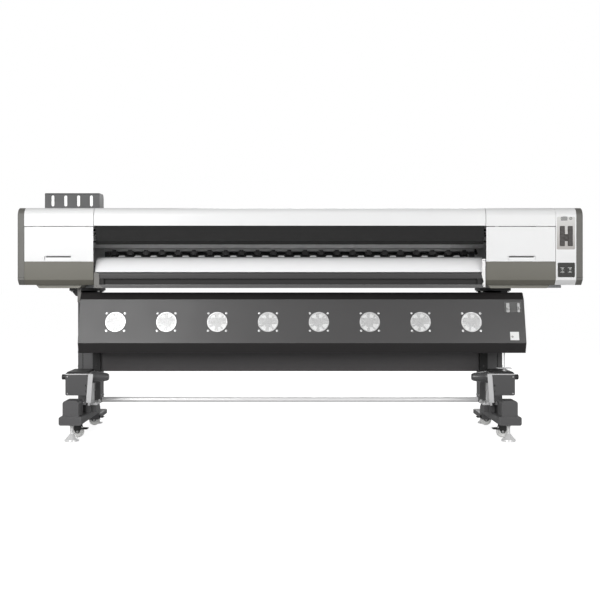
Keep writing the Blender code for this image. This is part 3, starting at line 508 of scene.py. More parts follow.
seal_and_shadow_black = coated("seal_rubber_and_painted_shadow", (0.0035, 0.0035, 0.0035), (0.005, 0.005, 0.005), 0.75, cells=900,
                    relief=0.00004,
                    wear=0.0, dust=0.0)
finish_piece("window_edging_and_shadow_line", edging_and_shadow, seal_and_shadow_black, "lid", edge=0.0003)

# Side doors: flat white sheet panels that lift on gooseneck hinges behind their top edge. Each is pressed
# with a finger recess as deep as the CAD's, with a thin grey strip on its back wall that paints the shadow
# under the top lip.
DOOR_Z = (0.9185, 1.0985)
PULL_HALF, PULL_Z, PULL_DEPTH, PULL_WALL = 0.071, (0.926, 0.948), 0.010, 0.002
PULL_ROUND, SHADE_INSET = 0.004, 0.007
# Grey for the strip that paints the shadow under each recess's top lip.
recess_shade_grey = coated("recess_painted_shade", (0.135, 0.135, 0.135), (0.110, 0.110, 0.110), 0.6, cells=900, wear=0.1)
for side, (near, far), middle in (("left", (-1.4262, -1.0700), -1.2522), ("right", (0.9620, 1.3195), 1.1455)):
    panel = slab((near, FRONT, DOOR_Z[0]), (far, FRONT + SHEET, DOOR_Z[1]))
    cuts = [((middle + s * (PULL_HALF + w), 0, 0), (1, 0, 0)) for s in (-1, 1) for w in (0, PULL_WALL)]
    cuts += [((0, 0, PULL_Z[0] - w), (0, 0, 1)) for w in (0, PULL_WALL)]
    cuts += [((0, 0, PULL_Z[1] + w), (0, 0, 1)) for w in (0, PULL_WALL)]
    for place, across in cuts:
        bmesh.ops.bisect_plane(panel, geom=panel.verts[:] + panel.edges[:] + panel.faces[:], plane_co=place,
                               plane_no=across)

    def within(face, spread, depth):
        """True for a face of the scoop's area on the front or the back of the panel."""
        at = face.calc_center_median()
        return (
            abs(at.x - middle) < PULL_HALF + spread
            and PULL_Z[0] - spread < at.z < PULL_Z[1] + spread
            and abs(at.y - depth) < 1e-5
        )

    behind = [f for f in panel.faces if within(f, PULL_WALL, FRONT + SHEET)]
    grown = bmesh.ops.extrude_face_region(panel, geom=behind)["geom"]
    moved = [item for item in grown if isinstance(item, bmesh.types.BMVert)]
    bmesh.ops.translate(panel, verts=moved, vec=(0, PULL_DEPTH, 0))
    bmesh.ops.delete(panel, geom=[f for f in behind if f.is_valid], context="FACES_ONLY")
    scoop = [f for f in panel.faces if within(f, 0, FRONT)]
    grown = bmesh.ops.extrude_discrete_faces(panel, faces=scoop)["faces"]
    for vert in grown[0].verts:
        vert.co.y += PULL_DEPTH
    corners = [
        e for e in panel.edges
        if e.is_valid and any(f is grown[0] for v in e.verts for f in v.link_faces)
        and abs((e.verts[0].co - e.verts[1].co).normalized().y) > 0.9
    ]
    upper_corners = [e for e in corners if e.verts[0].co.z > sum(PULL_Z) / 2]
    bmesh.ops.bevel(panel, geom=upper_corners, offset=PULL_ROUND, offset_type="OFFSET", segments=5,
                    profile=0.5,
                    affect="EDGES", material=-1)
    bmesh.ops.recalc_face_normals(panel, faces=panel.faces)
    finish_piece(f"{side}_door_panel", panel, white_coat, f"{side}_door", [f"{side}_door"],
                 edge=0.001,
                 segments=3)
    # A thin grey strip on the recess's back wall: painted shadow under the top lip.
    recess_shade_strip = slab((middle - PULL_HALF + SHADE_INSET, FRONT + PULL_DEPTH - 0.0003, PULL_Z[1] - 0.0085),
                (middle + PULL_HALF - SHADE_INSET, FRONT + PULL_DEPTH + 0.0004, PULL_Z[1] - 0.0010))
    finish_piece(f"{side}_door_recess_shade", recess_shade_strip, recess_shade_grey, f"{side}_door", edge=0.0002)
    door_half, frame_half = [], []
    for x in (near + 0.05, far - 0.05):
        door_half += [
            bar((x - 0.020, FRONT + 0.008, 1.090), (x - 0.001, FRONT + 0.008, 1.090), 0.004),
            slab((x - 0.020, FRONT + 0.003, 1.066), (x - 0.001, FRONT + 0.0045, 1.092)),
        ]
        frame_half += [
            bar((x + 0.001, FRONT + 0.008, 1.090), (x + 0.020, FRONT + 0.008, 1.090), 0.004),
            slab((x + 0.001, FRONT + 0.0080, 1.0862), (x + 0.020, FRONT + 0.0300, 1.0877)),
            slab((x + 0.001, FRONT + 0.0285, 1.0862), (x + 0.020, FRONT + 0.0300, 1.1250)),
            slab((x + 0.001, FRONT + 0.0025, 1.1235), (x + 0.020, FRONT + 0.0300, 1.1250)),
        ]
    finish_piece(f"{side}_door_hinge_leaf", joined(*door_half), zinc_plate, f"{side}_door",
                 edge=0.0003)
    finish_piece(f"{side}_frame_hinge_leaf", joined(*frame_half), zinc_plate, "main_frame",
                 edge=0.0003)

# Lower covers: grey sheet skirts under the doors, folded back in a chamfer at the bottom, each with a
# shallow drip pan hung below it.
grey_coat = coated("warm_grey_powder_coat", (0.152, 0.146, 0.122), (0.134, 0.129, 0.106), 0.42,
                   worn=(0.42, 0.42, 0.40),
                   wear=0.2, dust=0.05, coat=0.05)
pan_coat = coated("pan_powder_coat", (0.21, 0.205, 0.175), (0.185, 0.180, 0.150), 0.45,
                  worn=(0.42, 0.42, 0.40),
                  wear=0.2, dust=0.05)
BASE, CHAMFER_TOP, PAN, CHAMFER_RUN = 0.797, 0.823, 0.7805, 0.025
for side, reach, pan_x in (
    ("left", (-CAP_X + SEAM, OPENING[0] - SEAM), (-1.375, -1.135)),
    ("right", (OPENING[1] + SEAM, COLUMN_X - SEAM), (0.975, 1.300)),
):
    skirt = folded_sheet(
        [(-0.1215, BASE), (FRONT + CHAMFER_RUN, BASE), (FRONT, CHAMFER_TOP), (FRONT, 0.9175)],
        [0.005, 0.005], reach, SHEET, (0, 0, -1),
    )
    finish_piece(f"{side}_skirt", skirt, grey_coat, "main_frame", [f"{side}_lower_cover"])
    tray = slab((pan_x[0], -0.273, PAN), (pan_x[1], -0.1215, BASE + 0.001))
    for vert in tray.verts:
        if vert.co.z < BASE:
            vert.co.x += 0.015 if vert.co.x < sum(pan_x) / 2 else -0.015
    round_along(tray, 1, 0.004)
    finish_piece(f"{side}_drip_pan", tray, pan_coat, "main_frame")

# End caps: deep plastic mouldings in warm grey that close the body's ends. Each has a parting line, a block
# of cooling louvres and four screws on its outer side.
cap_grey = coated("warm_grey_moulding", (0.140, 0.137, 0.125), (0.122, 0.119, 0.108), 0.46, cells=1100,
                  relief=0.00007,
                  worn=(0.38, 0.38, 0.36), wear=0.2, dust=0.06)
vent_black = coated("vent_shadow", (0.010, 0.010, 0.010), (0.016, 0.016, 0.016), 0.7, wear=0.0)
for side, sign in (("left", -1), ("right", 1)):
    inner, outer = sign * CAP_X, sign * 1.4617
    cap = slab((min(inner, outer), FRONT, BASE), (max(inner, outer), REAR, TOP))
    round_along(cap, 0, 0.045, 9, lambda at: at.y < 0 and at.z > 1.1)
    round_along(cap, 0, 0.020, 5, lambda at: at.y > 0.29 and at.z > 1.1)
    bmesh.ops.bisect_plane(
        cap, geom=cap.verts[:] + cap.edges[:] + cap.faces[:], clear_outer=True,
        plane_co=(0, FRONT, CHAMFER_TOP), plane_no=Vector((0, CHAMFER_TOP - BASE, CHAMFER_RUN)) * -1,
    )
    bmesh.ops.holes_fill(cap, edges=cap.edges[:])
    outline = [e for e in cap.edges if all(abs(v.co.x - outer) < 1e-5 for v in e.verts)]
    bmesh.ops.bevel(cap, geom=outline, offset=0.005, offset_type="OFFSET", segments=4, profile=0.5,
                    affect="EDGES",
                    material=-1)
    bmesh.ops.recalc_face_normals(cap, faces=cap.faces)
    finish_piece(f"{side}_cap_moulding", cap, cap_grey, "main_frame", [f"{side}_end_cap"])
    parting = slab((min(inner, outer) + 0.0005, FRONT - 0.0003, 0.835),
                   (max(inner, outer) - 0.0005, FRONT + 0.004, 0.8362))
    louvres = []
    for i in range(9):
        z = 0.872 + i * 0.013
        slat = slab((outer - 0.0015, 0.020, z - 0.003), (outer + 0.0002, 0.200, z + 0.003))
        louvres.append(round_along(slat, 0, 0.0029))
    finish_piece(f"{side}_cap_louvres", joined(parting, *louvres), vent_black, "main_frame",
                 edge=0)
    screws = [
        dome_screw((outer, y, z), (sign, 0, 0), 0.0045)
        for y, z in ((-0.270, 0.850), (0.268, 0.830), (0.262, 1.150), (-0.255, 1.150))
    ]
    finish_piece(f"{side}_cap_screws", joined(*screws), zinc_plate, "main_frame", edge=0)

# Ink tank cover: a folded grey box on the left hood over four ink bottles, with an upright slot in its front
# to read each bottle's level.
TANK_X, TANK_Y, TANK_Z = (-1.3945, -1.0953), (-0.010, 0.112), (TOP + SEAM, 1.299)
SLOTS = [-1.3504 + i * 0.0702 for i in range(4)]


def rounded_loop(shape, centre, width, height, radius, steps=4):
    """A rounded rectangle of edges in the XY plane."""
    made = bmesh.ops.create_grid(shape, x_segments=1, y_segments=1, size=0.5)["verts"]
    bmesh.ops.scale(shape, vec=(width, height, 1), verts=made)
    bmesh.ops.translate(shape, vec=(*centre, 0), verts=made)
    bmesh.ops.bevel(shape, geom=made, offset=radius, offset_type="OFFSET", segments=steps, profile=0.5,
                    affect="VERTICES", material=-1)


def pierced_plate(width, height, radius, slots, rounds, thickness, steps=6):
    """A plate in XY, its face at height 0, with rounded slots (x, y, w, h, r) and round holes (x, y, r)."""
    shape = bmesh.new()
    rounded_loop(shape, (0, 0), width, height, radius)
    for x, y, w, h, r in slots:
        rounded_loop(shape, (x, y), w, h, r, steps)
    bmesh.ops.delete(shape, geom=shape.faces[:], context="FACES_ONLY")
    for x, y, r in rounds:
        bmesh.ops.create_circle(shape, segments=48, radius=r, matrix=Matrix.Translation((x, y, 0)))
    bmesh.ops.triangle_fill(shape, use_beauty=True, use_dissolve=False, edges=shape.edges[:],
                            normal=(0, 0, 1))
    shape.normal_update()
    for face in shape.faces:
        if face.normal.z < 0:
            face.normal_flip()
    bmesh.ops.solidify(shape, geom=shape.faces[:], thickness=thickness)
    return shape


def placed(shape, matrix):
    """A shape carried to its place."""
    bmesh.ops.transform(shape, matrix=matrix, verts=shape.verts)
    return shape


UPRIGHT = Matrix.Rotation(math.radians(90), 4, "X")  # turns a plate in XY to face the front
tank_grey = coated("tank_grey_powder_coat", (0.068, 0.068, 0.069), (0.058, 0.058, 0.059), 0.45,
                   worn=(0.35, 0.35, 0.35),
                   wear=0.25, dust=0.08)
tank_middle = sum(TANK_X) / 2
face_height = TANK_Z[1] - 0.010 - TANK_Z[0]
front_face = pierced_plate(
    TANK_X[1] - TANK_X[0], face_height, 0.0005,
    [(x - tank_middle, 1.256 - TANK_Z[0] - face_height / 2, 0.016, 0.060, 0.0078) for x in SLOTS], [], SHEET,
)
placed(front_face, Matrix.Translation((tank_middle, TANK_Y[0], TANK_Z[0] + face_height / 2)) @ UPRIGHT)
top_and_back = folded_sheet(
    [(TANK_Y[0], TANK_Z[1] - 0.0102), (TANK_Y[0], TANK_Z[1]), (TANK_Y[1], TANK_Z[1]), (TANK_Y[1], TANK_Z[0])],
    [0.010, 0.030], TANK_X, SHEET, (0, -1, 0),
)
ends = []
for x in (TANK_X[0] + 0.0004, TANK_X[1] - SHEET - 0.0004):
    end = slab((x, TANK_Y[0] + 0.0004, TANK_Z[0]), (x + SHEET, TANK_Y[1] - 0.0004, TANK_Z[1] - 0.0004))
    round_along(end, 0, 0.010, 4, lambda at: at.y < 0 and at.z > 1.28)
    round_along(end, 0, 0.030, 6, lambda at: at.y > 0.1 and at.z > 1.28)
    ends.append(end)
finish_piece("ink_cover_cheek", ends.pop(), soft_black, "main_frame", edge=0.0005)
finish_piece("ink_cover_shell", joined(front_face, top_and_back, *ends), tank_grey, "main_frame",
             ["ink_tank_cover"], edge=0.0005)
bottle_white = coated("ink_bottle_polyethylene", (0.88, 0.88, 0.86), (0.82, 0.82, 0.80), 0.38, cells=500,
                      wear=0.0)
bottles = [slab((TANK_X[0] + 0.008, 0.0, TANK_Z[0]), (TANK_X[1] - 0.008, 0.098, TANK_Z[0] + 0.010))]
for x in SLOTS:
    bottle = slab((x - 0.026, 0.006, TANK_Z[0] + 0.009), (x + 0.026, 0.084, 1.272))
    round_along(bottle, 2, 0.012)
    bottles.append(bottle)
    bottles.append(bar((x, 0.045, 1.2715), (x, 0.045, 1.286), 0.016, 24))
finish_piece("ink_bottle_row", joined(*bottles), bottle_white, "main_frame",
             ["ink_bottles"], edge=0.002)
opal = coated("opal_level_window", (0.92, 0.92, 0.91), (0.88, 0.88, 0.87), 0.25, cells=300, relief=0.00001,
              wear=0.0,
              dust=0.0, coat=0.3)
windows = []
for x in SLOTS:
    strip = slab((x - 0.0105, TANK_Y[0] + 0.0012, 1.2225), (x + 0.0105, TANK_Y[0] + 0.0045, 1.2895))
    windows.append(round_along(strip, 1, 0.008))
finish_piece("ink_level_windows", joined(*windows), opal, "main_frame", edge=0.0004)

# Control column: a white folded sheet upright at the right, with a pale foil over its upper half, darker at its
# foot and lighter towards its top.
# The foil covers a small display, a status lamp and a membrane field of keys set in two rows and a middle one.
PANEL_X = (1.3215, 1.4272)
column = folded_sheet(
    [(FRONT + CHAMFER_RUN, BASE), (FRONT, CHAMFER_TOP), (FRONT, TOP), (REAR, TOP), (REAR, 0.800)],
    [0.005, 0.045, 0.020], PANEL_X, SHEET, (0, -1, -1),
)
finish_piece("control_column_shell", column, white_coat, "main_frame", ["control_panel"])
FOIL_X, FOIL_Z = (1.3265, 1.4205), (0.981, 1.150)


def on_front(width, height, radius, centre, depth, thickness, holes=()):
    """A rounded plate standing on the front plane, its face depth in front of the plane."""
    plate = pierced_plate(width, height, radius, holes, [], thickness)
    return placed(plate, Matrix.Translation((centre[0], FRONT - depth, centre[1])) @ UPRIGHT)


foil_ink = bpy.data.materials.new("control_foil")
foil_ink.use_nodes = True
tree = foil_ink.node_tree
shader = tree.nodes["Principled BSDF"]
shader.inputs["Coat Weight"].default_value = 0.25
place = add_node(tree, "ShaderNodeTexCoord").outputs["Object"]
tall = add_node(tree, "ShaderNodeSeparateXYZ", [(0, place)])
# The foil's colour runs from darker at its foot to lighter at its top.
fade = add_node(tree, "ShaderNodeMapRange", [("Value", tall.outputs["Z"]), (1, 0.985), (2, 1.150)])
drift = use_group(tree, colour_drift, Colour=(0.40, 0.375, 0.355, 1), Shade=(0.35, 0.33, 0.315, 1))
tone = add_node(
    tree, "ShaderNodeMix", [(0, fade.outputs[0]), (6, drift.outputs[0]), (7, (0.62, 0.615, 0.60, 1))],
    data_type="RGBA"
)
matt = use_group(tree, fine_grain, Cells_per_metre=2200.0)
gloss = add_node(tree, "ShaderNodeMapRange", [("Value", matt.outputs["Tone"]), (3, 0.32), (4, 0.42)])
relief = add_node(tree, "ShaderNodeBump", [("Height", matt.outputs["Height"]), ("Distance", 0.00002)])
tree.links.new(tone.outputs[2], shader.inputs["Base Color"])
tree.links.new(gloss.outputs[0], shader.inputs["Roughness"])
tree.links.new(relief.outputs[0], shader.inputs["Normal"])
foil_middle = (sum(FOIL_X) / 2, sum(FOIL_Z) / 2)
foil = on_front(FOIL_X[1] - FOIL_X[0], FOIL_Z[1] - FOIL_Z[0], 0.006, foil_middle, 0.0006, 0.0006)
finish_piece("control_foil_sheet", foil, foil_ink, "main_frame", edge=0.0002)

display_glass = coated("display_glass", (0.014, 0.016, 0.015), (0.022, 0.024, 0.022), 0.12, cells=60,
                       relief=0.00001,
                       wear=0.0, dust=0.02, coat=0.8)
display = on_front(0.034, 0.021, 0.002, (1.364, 1.1405), 0.0014, 0.0012)
finish_piece("display_screen", display, display_glass, "main_frame", edge=0.0003)
lamp_ring = coated("lamp_ring", (0.14, 0.14, 0.14), (0.11, 0.11, 0.11), 0.3, wear=0.1, metallic=0.4)
ring = bmesh.new()
profile = [(0.0048, 0.0006), (0.0048, 0.0016), (0.0062, 0.0022), (0.0074, 0.0016), (0.0074, 0.0006)]
line = [ring.verts.new((r, 0, h)) for r, h in profile]
runs = [ring.edges.new(pair) for pair in zip(line, line[1:])]
bmesh.ops.spin(ring, geom=line + runs, axis=(0, 0, 1), angle=math.tau, steps=28, use_merge=True)
bmesh.ops.recalc_face_normals(ring, faces=ring.faces)
placed(ring, Matrix.Translation((1.3985, FRONT, 1.1415)) @ UPRIGHT)
finish_piece("status_lamp_ring", ring, lamp_ring, "main_frame", edge=0)
lamp_lens = coated("lamp_lens", (0.62, 0.64, 0.60), (0.55, 0.58, 0.54), 0.18, wear=0.0, coat=0.6)
lens = bmesh.new()
bmesh.ops.create_uvsphere(lens, u_segments=20, v_segments=8, radius=0.0047)
bmesh.ops.scale(lens, vec=(1, 0.45, 1), verts=lens.verts)
bmesh.ops.bisect_plane(lens, geom=lens.verts[:] + lens.edges[:] + lens.faces[:], plane_co=(0, 0.0002, 0),
                       plane_no=(0, 1, 0), clear_outer=True)
bmesh.ops.translate(lens, vec=(1.3985, FRONT - 0.0006, 1.1415), verts=lens.verts)
finish_piece("status_lamp_lens", lens, lamp_lens, "main_frame", edge=0)

key_brown = coated("membrane_key", (0.017, 0.012, 0.0105), (0.028, 0.021, 0.018), 0.38, cells=1800,
                   relief=0.00003,
                   worn=(0.10, 0.08, 0.07), wear=0.1, dust=0.0, coat=0.05)
key_seat = coated("membrane_seat", (0.030, 0.023, 0.021), (0.038, 0.030, 0.027), 0.5, cells=1800, wear=0.0,
                  dust=0.0)
KEY_ROWS, KEY_FIRST, KEY_PITCH = 5, 1.0000 + 0.0095, 0.0203
seats = [
    on_front(0.0265, 0.104, 0.003, (1.3545, 1.0502), 0.0012, 0.0008),
    on_front(0.0265, 0.104, 0.003, (1.3955, 1.0502), 0.0012, 0.0008),
    on_front(0.0300, 0.0360, 0.010, (1.3750, 1.0420), 0.0011, 0.0007),
]
finish_piece("key_field_seat", joined(*seats), key_seat, "main_frame", edge=0.0002)
keys = [
    on_front(0.0215, 0.0165, 0.0035, (x, KEY_FIRST + i * KEY_PITCH), 0.0028, 0.0018)
    for x in (1.3545, 1.3955) for i in range(KEY_ROWS)
]
keys.append(on_front(0.0150, 0.0180, 0.0070, (1.3750, 1.0420), 0.0028, 0.0018))
finish_piece("membrane_keys", joined(*keys), key_brown, "main_frame", edge=0.0009,
             segments=3)

# Switch block: a dark grey moulded frame below the keys that holds two rocker switches, each hinged at its
# middle and printed with a plain bar and ring.
block_grey = coated("switch_frame_moulding", (0.030, 0.030, 0.027), (0.024, 0.024, 0.022), 0.5, cells=1300,
                    relief=0.00006, worn=(0.10, 0.10, 0.10), wear=0.1, dust=0.0)
SWITCHES = {"power_switch": 1.3548, "heater_switch": 1.3935}
SWITCH_Z, PIVOT_Y = 0.8747, FRONT + 0.0015
frame_middle = (1.3750, 0.8752)
frame_plate = on_front(
    0.088, 0.075, 0.005, frame_middle, 0.0022, 0.0042,
    [(x - frame_middle[0], SWITCH_Z - frame_middle[1], 0.0212, 0.0272, 0.0012) for x in SWITCHES.values()],
)
finish_piece("switch_frame", frame_plate, block_grey, "main_frame", edge=0.0007, segments=3)
rocker_black = coated("rocker_moulding", (0.020, 0.021, 0.020), (0.028, 0.029, 0.028), 0.32, cells=1300,
                      relief=0.00003,
                      worn=(0.12, 0.12, 0.12), wear=0.3, coat=0.2)
pale_print = coated("pale_print", (0.66, 0.67, 0.64), (0.58, 0.59, 0.56), 0.4, wear=0.0, dust=0.0)
TILT = math.radians(10)
for switch, x in SWITCHES.items():
    rocker = bmesh.new()
    rim = [(-0.0062, 0.0112), (-0.0044, 0.0070), (-0.0032, 0.0), (-0.0044, -0.0070), (-0.0062, -0.0112)]
    low_arc = [(0.0118 * math.cos(a),
                0.0118 * math.sin(a)) for a in (math.radians(d) for d in range(-108, 109, 18))]
    line = [rocker.verts.new((x - 0.0098, PIVOT_Y + v, SWITCH_Z + w)) for v, w in rim + low_arc]
    face = rocker.faces.new(line)
    grown = bmesh.ops.extrude_face_region(rocker, geom=[face])["geom"]
    bmesh.ops.translate(
        rocker, verts=[item for item in grown if isinstance(item, bmesh.types.BMVert)], vec=(0.0196, 0, 0)
    )
    bmesh.ops.recalc_face_normals(rocker, faces=rocker.faces)
    pivot = Vector((x, PIVOT_Y, SWITCH_Z))
    tilt = Matrix.Rotation(TILT, 3, "X")
    bmesh.ops.rotate(rocker, cent=pivot, matrix=tilt, verts=rocker.verts)
    finish_piece(f"{switch}_rocker", rocker, rocker_black, switch, [switch], edge=0.0006)
    stroke = slab((x - 0.0056, PIVOT_Y - 0.0061, SWITCH_Z + 0.0044),
                  (x + 0.0056, PIVOT_Y - 0.0045, SWITCH_Z + 0.0090))
    loop = bmesh.new()
    bmesh.ops.create_circle(loop, segments=20, radius=0.0029)
    outer_edges = loop.edges[:]
    bmesh.ops.extrude_edge_only(loop, edges=outer_edges)
    far = [v for v in loop.verts if not any(e in outer_edges for e in v.link_edges)]
    bmesh.ops.scale(loop, vec=(1.65, 1.65, 1), verts=far)
    bmesh.ops.solidify(loop, geom=loop.faces[:], thickness=0.0008)
    placed(loop, Matrix.Translation((x, PIVOT_Y - 0.0053, SWITCH_Z - 0.0070)) @ UPRIGHT)
    marks = joined(stroke, loop)
    bmesh.ops.rotate(marks, cent=pivot, matrix=tilt, verts=marks.verts)
    finish_piece(f"{switch}_marks", marks, pale_print, switch, edge=0)

# Apron and platen: a white coated sheet curves down from the front of the flat suction platen, whose front
# edge carries small white guide nubs between the pinch wheels. Below it runs a dark rail of two folded sheets.
SPAN = (OPENING[0] + 0.002, OPENING[1] - 0.002)
PLATEN_Z = 0.945
APRON_TOP, APRON_LOW, BULGE = Vector((-0.200, 0.9405)), Vector((-0.290, 0.8645)), 0.014


def curved_sheet(centre, radius, start, end, x_range, thickness, steps=24):
    """A sheet curved round an axis along X; degrees from +Y towards +Z, outer side away from the axis."""
    shape = bmesh.new()
    first = math.radians(start)
    near = shape.verts.new((x_range[0], centre[0] + radius * math.cos(first),
                            centre[1] + radius * math.sin(first)))
    far = shape.verts.new((x_range[1], near.co.y, near.co.z))
    edge = shape.edges.new((near, far))
    bmesh.ops.spin(
        shape, geom=[near, far, edge], cent=(0, *centre), axis=(1, 0, 0), angle=math.radians(end - start),
        steps=steps
    )
    bmesh.ops.recalc_face_normals(shape, faces=shape.faces)
    shape.normal_update()
    sample = shape.faces[:][0]
    if (sample.calc_center_median() - Vector((0, *centre))).yz.dot(sample.normal.yz) < 0:
        bmesh.ops.reverse_faces(shape, faces=shape.faces)
    bmesh.ops.solidify(shape, geom=shape.faces[:], thickness=thickness)
    return shape


chord = APRON_LOW - APRON_TOP
apron_radius = (chord.length**2 / 4 + BULGE**2) / (2 * BULGE)
outward = Vector((chord.y, -chord.x)).normalized()
apron_centre = (APRON_TOP + APRON_LOW) / 2 - outward * (apron_radius - BULGE)
turns = [math.degrees(math.atan2(p.y - apron_centre.y, p.x - apron_centre.x)) % 360 for p in (APRON_TOP,
    APRON_LOW)]
apron_white = coated("apron_enamel", (0.97, 0.97, 0.975), (0.94, 0.94, 0.945), 0.22, cells=500,
                     relief=0.00002,
                     worn=(0.6, 0.6, 0.6), wear=0.2, dust=0.03, coat=0.4)
apron = curved_sheet(tuple(apron_centre), apron_radius, turns[0], turns[1], SPAN, SHEET)
finish_piece("apron_sheet", apron, apron_white, "main_frame", ["front_apron"])

platen_metal = coated("platen_anodised", (0.52, 0.53, 0.54), (0.46, 0.47, 0.48), 0.38, cells=1500,
                      relief=0.00002,
                      worn=(0.75, 0.75, 0.75), wear=0.3, metallic=0.75)
deck = folded_sheet(
    [(-0.199, 0.9005), (-0.199, PLATEN_Z), (-0.008, PLATEN_Z), (-0.008, 0.9005)], [0.010, 0.003], SPAN,
    0.004, (0, -1, 0)
)
finish_piece("platen_deck", deck, platen_metal, "main_frame", ["print_platen"],
             edge=0.0004)
# Flat black discs on the platen stand for the suction holes: painted shade in place of open holes.
hole_shade = coated("hole_painted_shade", (0.006, 0.006, 0.006), (0.010, 0.010, 0.010), 0.8, wear=0.0, dust=0.0)
holes = bmesh.new()
for row, y in enumerate((-0.165, -0.125, -0.085, -0.045)):
    for i in range(46):
        x = -1.04 + i * 0.0435 + (0.02175 if row % 2 else 0)
        bmesh.ops.create_circle(
            holes, cap_ends=True, segments=10, radius=0.0014,
            matrix=Matrix.Translation((x, y, PLATEN_Z + 0.0002))
        )
finish_piece("platen_hole_shade_discs", holes, hole_shade, "main_frame", edge=0)

PINCH_X = [-1.014 + i * 0.087 for i in range(23)]
nub_white = coated("nub_moulding", (0.86, 0.86, 0.86), (0.80, 0.80, 0.80), 0.35, cells=1400, relief=0.00004,
                   wear=0.1)
nubs = []
for x in PINCH_X[:-1]:
    nub = slab((x + 0.0265, -0.0320, 0.9448), (x + 0.0605, -0.0120, 0.9565))
    round_along(nub, 1, 0.0055, 5, lambda at: at.z > 0.95)
    nubs.append(nub)
finish_piece("platen_guide_nubs", joined(*nubs), nub_white, "main_frame", edge=0.0012,
             segments=3)

rail_grey = coated("rail_anodised_grey", (0.096, 0.095, 0.095), (0.081, 0.080, 0.080), 0.40, cells=1400,
                   relief=0.00003, worn=(0.40, 0.40, 0.40), wear=0.35, dust=0.05, coat=0.1)
lip, recess, foot = -0.300, -0.284, -0.304
lower_rail = folded_sheet(
    [(-0.1215, 0.7815), (foot, 0.7815), (foot, 0.7995), (recess, 0.7995), (recess, 0.8030)],
    [0.0015, 0.0015, 0], SPAN, 0.0025, (0, 0, -1),
)
finish_piece("apron_rail_foot", lower_rail, rail_grey, "main_frame", ["apron_rail"],
             edge=0.0005)
rail_dark = coated("rail_anodised_dark", (0.037, 0.0355, 0.036), (0.030, 0.0288, 0.0295), 0.42, cells=1400,
                   relief=0.00003, worn=(0.25, 0.25, 0.25), wear=0.3, dust=0.04)
upper_rail = folded_sheet(
    [(recess, 0.8030), (recess, 0.8295), (lip, 0.8295), (lip, 0.8595), (-0.270, 0.8595)],
    [0, 0.0015, 0.0025], SPAN,
    0.0025, (0, -1, 0),
)
finish_piece("apron_rail_lip", upper_rail, rail_dark, "main_frame", edge=0.0005)
# A black strip on the rail's recessed face, with black blocks at its ends: painted shade in the recess.
rail_recess_shade = coated("rail_recess_painted_shade", (0.022, 0.021, 0.021), (0.030, 0.029, 0.029), 0.75, cells=700,
                    relief=0.0002,
                    wear=0.0)
groove = slab((SPAN[0] + 0.049, -0.2852, 0.8010), (SPAN[1] - 0.040, -0.2842, 0.8290))
blocks = [
    slab((SPAN[0] + 0.028, -0.3005, 0.8010), (SPAN[0] + 0.049, -0.2842, 0.8285)),
    slab((SPAN[1] - 0.040, -0.3005, 0.8010), (SPAN[1] - 0.022, -0.2842, 0.8285)),
]
for shape in blocks:
    round_along(shape, 1, 0.0015)
finish_piece("rail_recess_shade_strip", joined(groove, *blocks), rail_recess_shade, "main_frame",
             edge=0.0005)

# Rail end brackets: at the left a grey tapered plate, at the right a bright stamped one with a scalloped
# edge, both screwed over the ends of the apron and rail.
end_plate = bmesh.new()
outline = [(-1.0670, 0.8625), (-1.0420, 0.8585), (-1.0395, 0.8310), (-1.0395, 0.7990), (-1.0200, 0.7815),
           (-1.0670, 0.7815)]
end_plate.faces.new([end_plate.verts.new((x, -0.3062, z)) for x, z in outline])
bmesh.ops.recalc_face_normals(end_plate, faces=end_plate.faces)
end_plate.normal_update()
if end_plate.faces[:][0].normal.y > 0:
    bmesh.ops.reverse_faces(end_plate, faces=end_plate.faces)
bmesh.ops.solidify(end_plate, geom=end_plate.faces[:], thickness=0.0020)
plate_screws = [dome_screw((-1.056, -0.3062, z), (0, -1, 0), 0.003) for z in (0.8480, 0.7930)]
end_grey = coated("bracket_grey", (0.180, 0.175, 0.165), (0.155, 0.150, 0.142), 0.45, worn=(0.4, 0.4, 0.4),
                  wear=0.3)
finish_piece("left_rail_end_plate", joined(end_plate, *plate_screws), end_grey, "main_frame",
             edge=0.0004)
stamped = bmesh.new()
inner_edge = [(0.9440, 0.9330), (0.9385, 0.9180), (0.9440, 0.9060), (0.9375, 0.8900), (0.9440, 0.8760),
              (0.9375, 0.8560),
              (0.9430, 0.8340), (0.9500, 0.8160), (0.9420, 0.8000), (0.9480, 0.7860)]
outline = inner_edge + [(0.9580, 0.7860), (0.9580, 0.9330)]
stamped.faces.new([stamped.verts.new((x, -0.3066, z)) for x, z in outline])
bmesh.ops.bevel(
    stamped, geom=[v for v in stamped.verts if v.co.x < 0.955 and 0.79 < v.co.z < 0.93], offset=0.005,
    segments=3,
    profile=0.5, affect="VERTICES", material=-1,
)
bmesh.ops.recalc_face_normals(stamped, faces=stamped.faces)
stamped.normal_update()
if stamped.faces[:][0].normal.y > 0:
    bmesh.ops.reverse_faces(stamped, faces=stamped.faces)
bmesh.ops.solidify(stamped, geom=stamped.faces[:], thickness=0.0020)
plate_screws = [dome_screw((0.9510, -0.3066, z), (0, -1, 0), 0.0026) for z in (0.9240, 0.8650, 0.7960)]
finish_piece("right_stamped_bracket", joined(stamped, *plate_screws), zinc_plate, "main_frame",
             edge=0.0004)

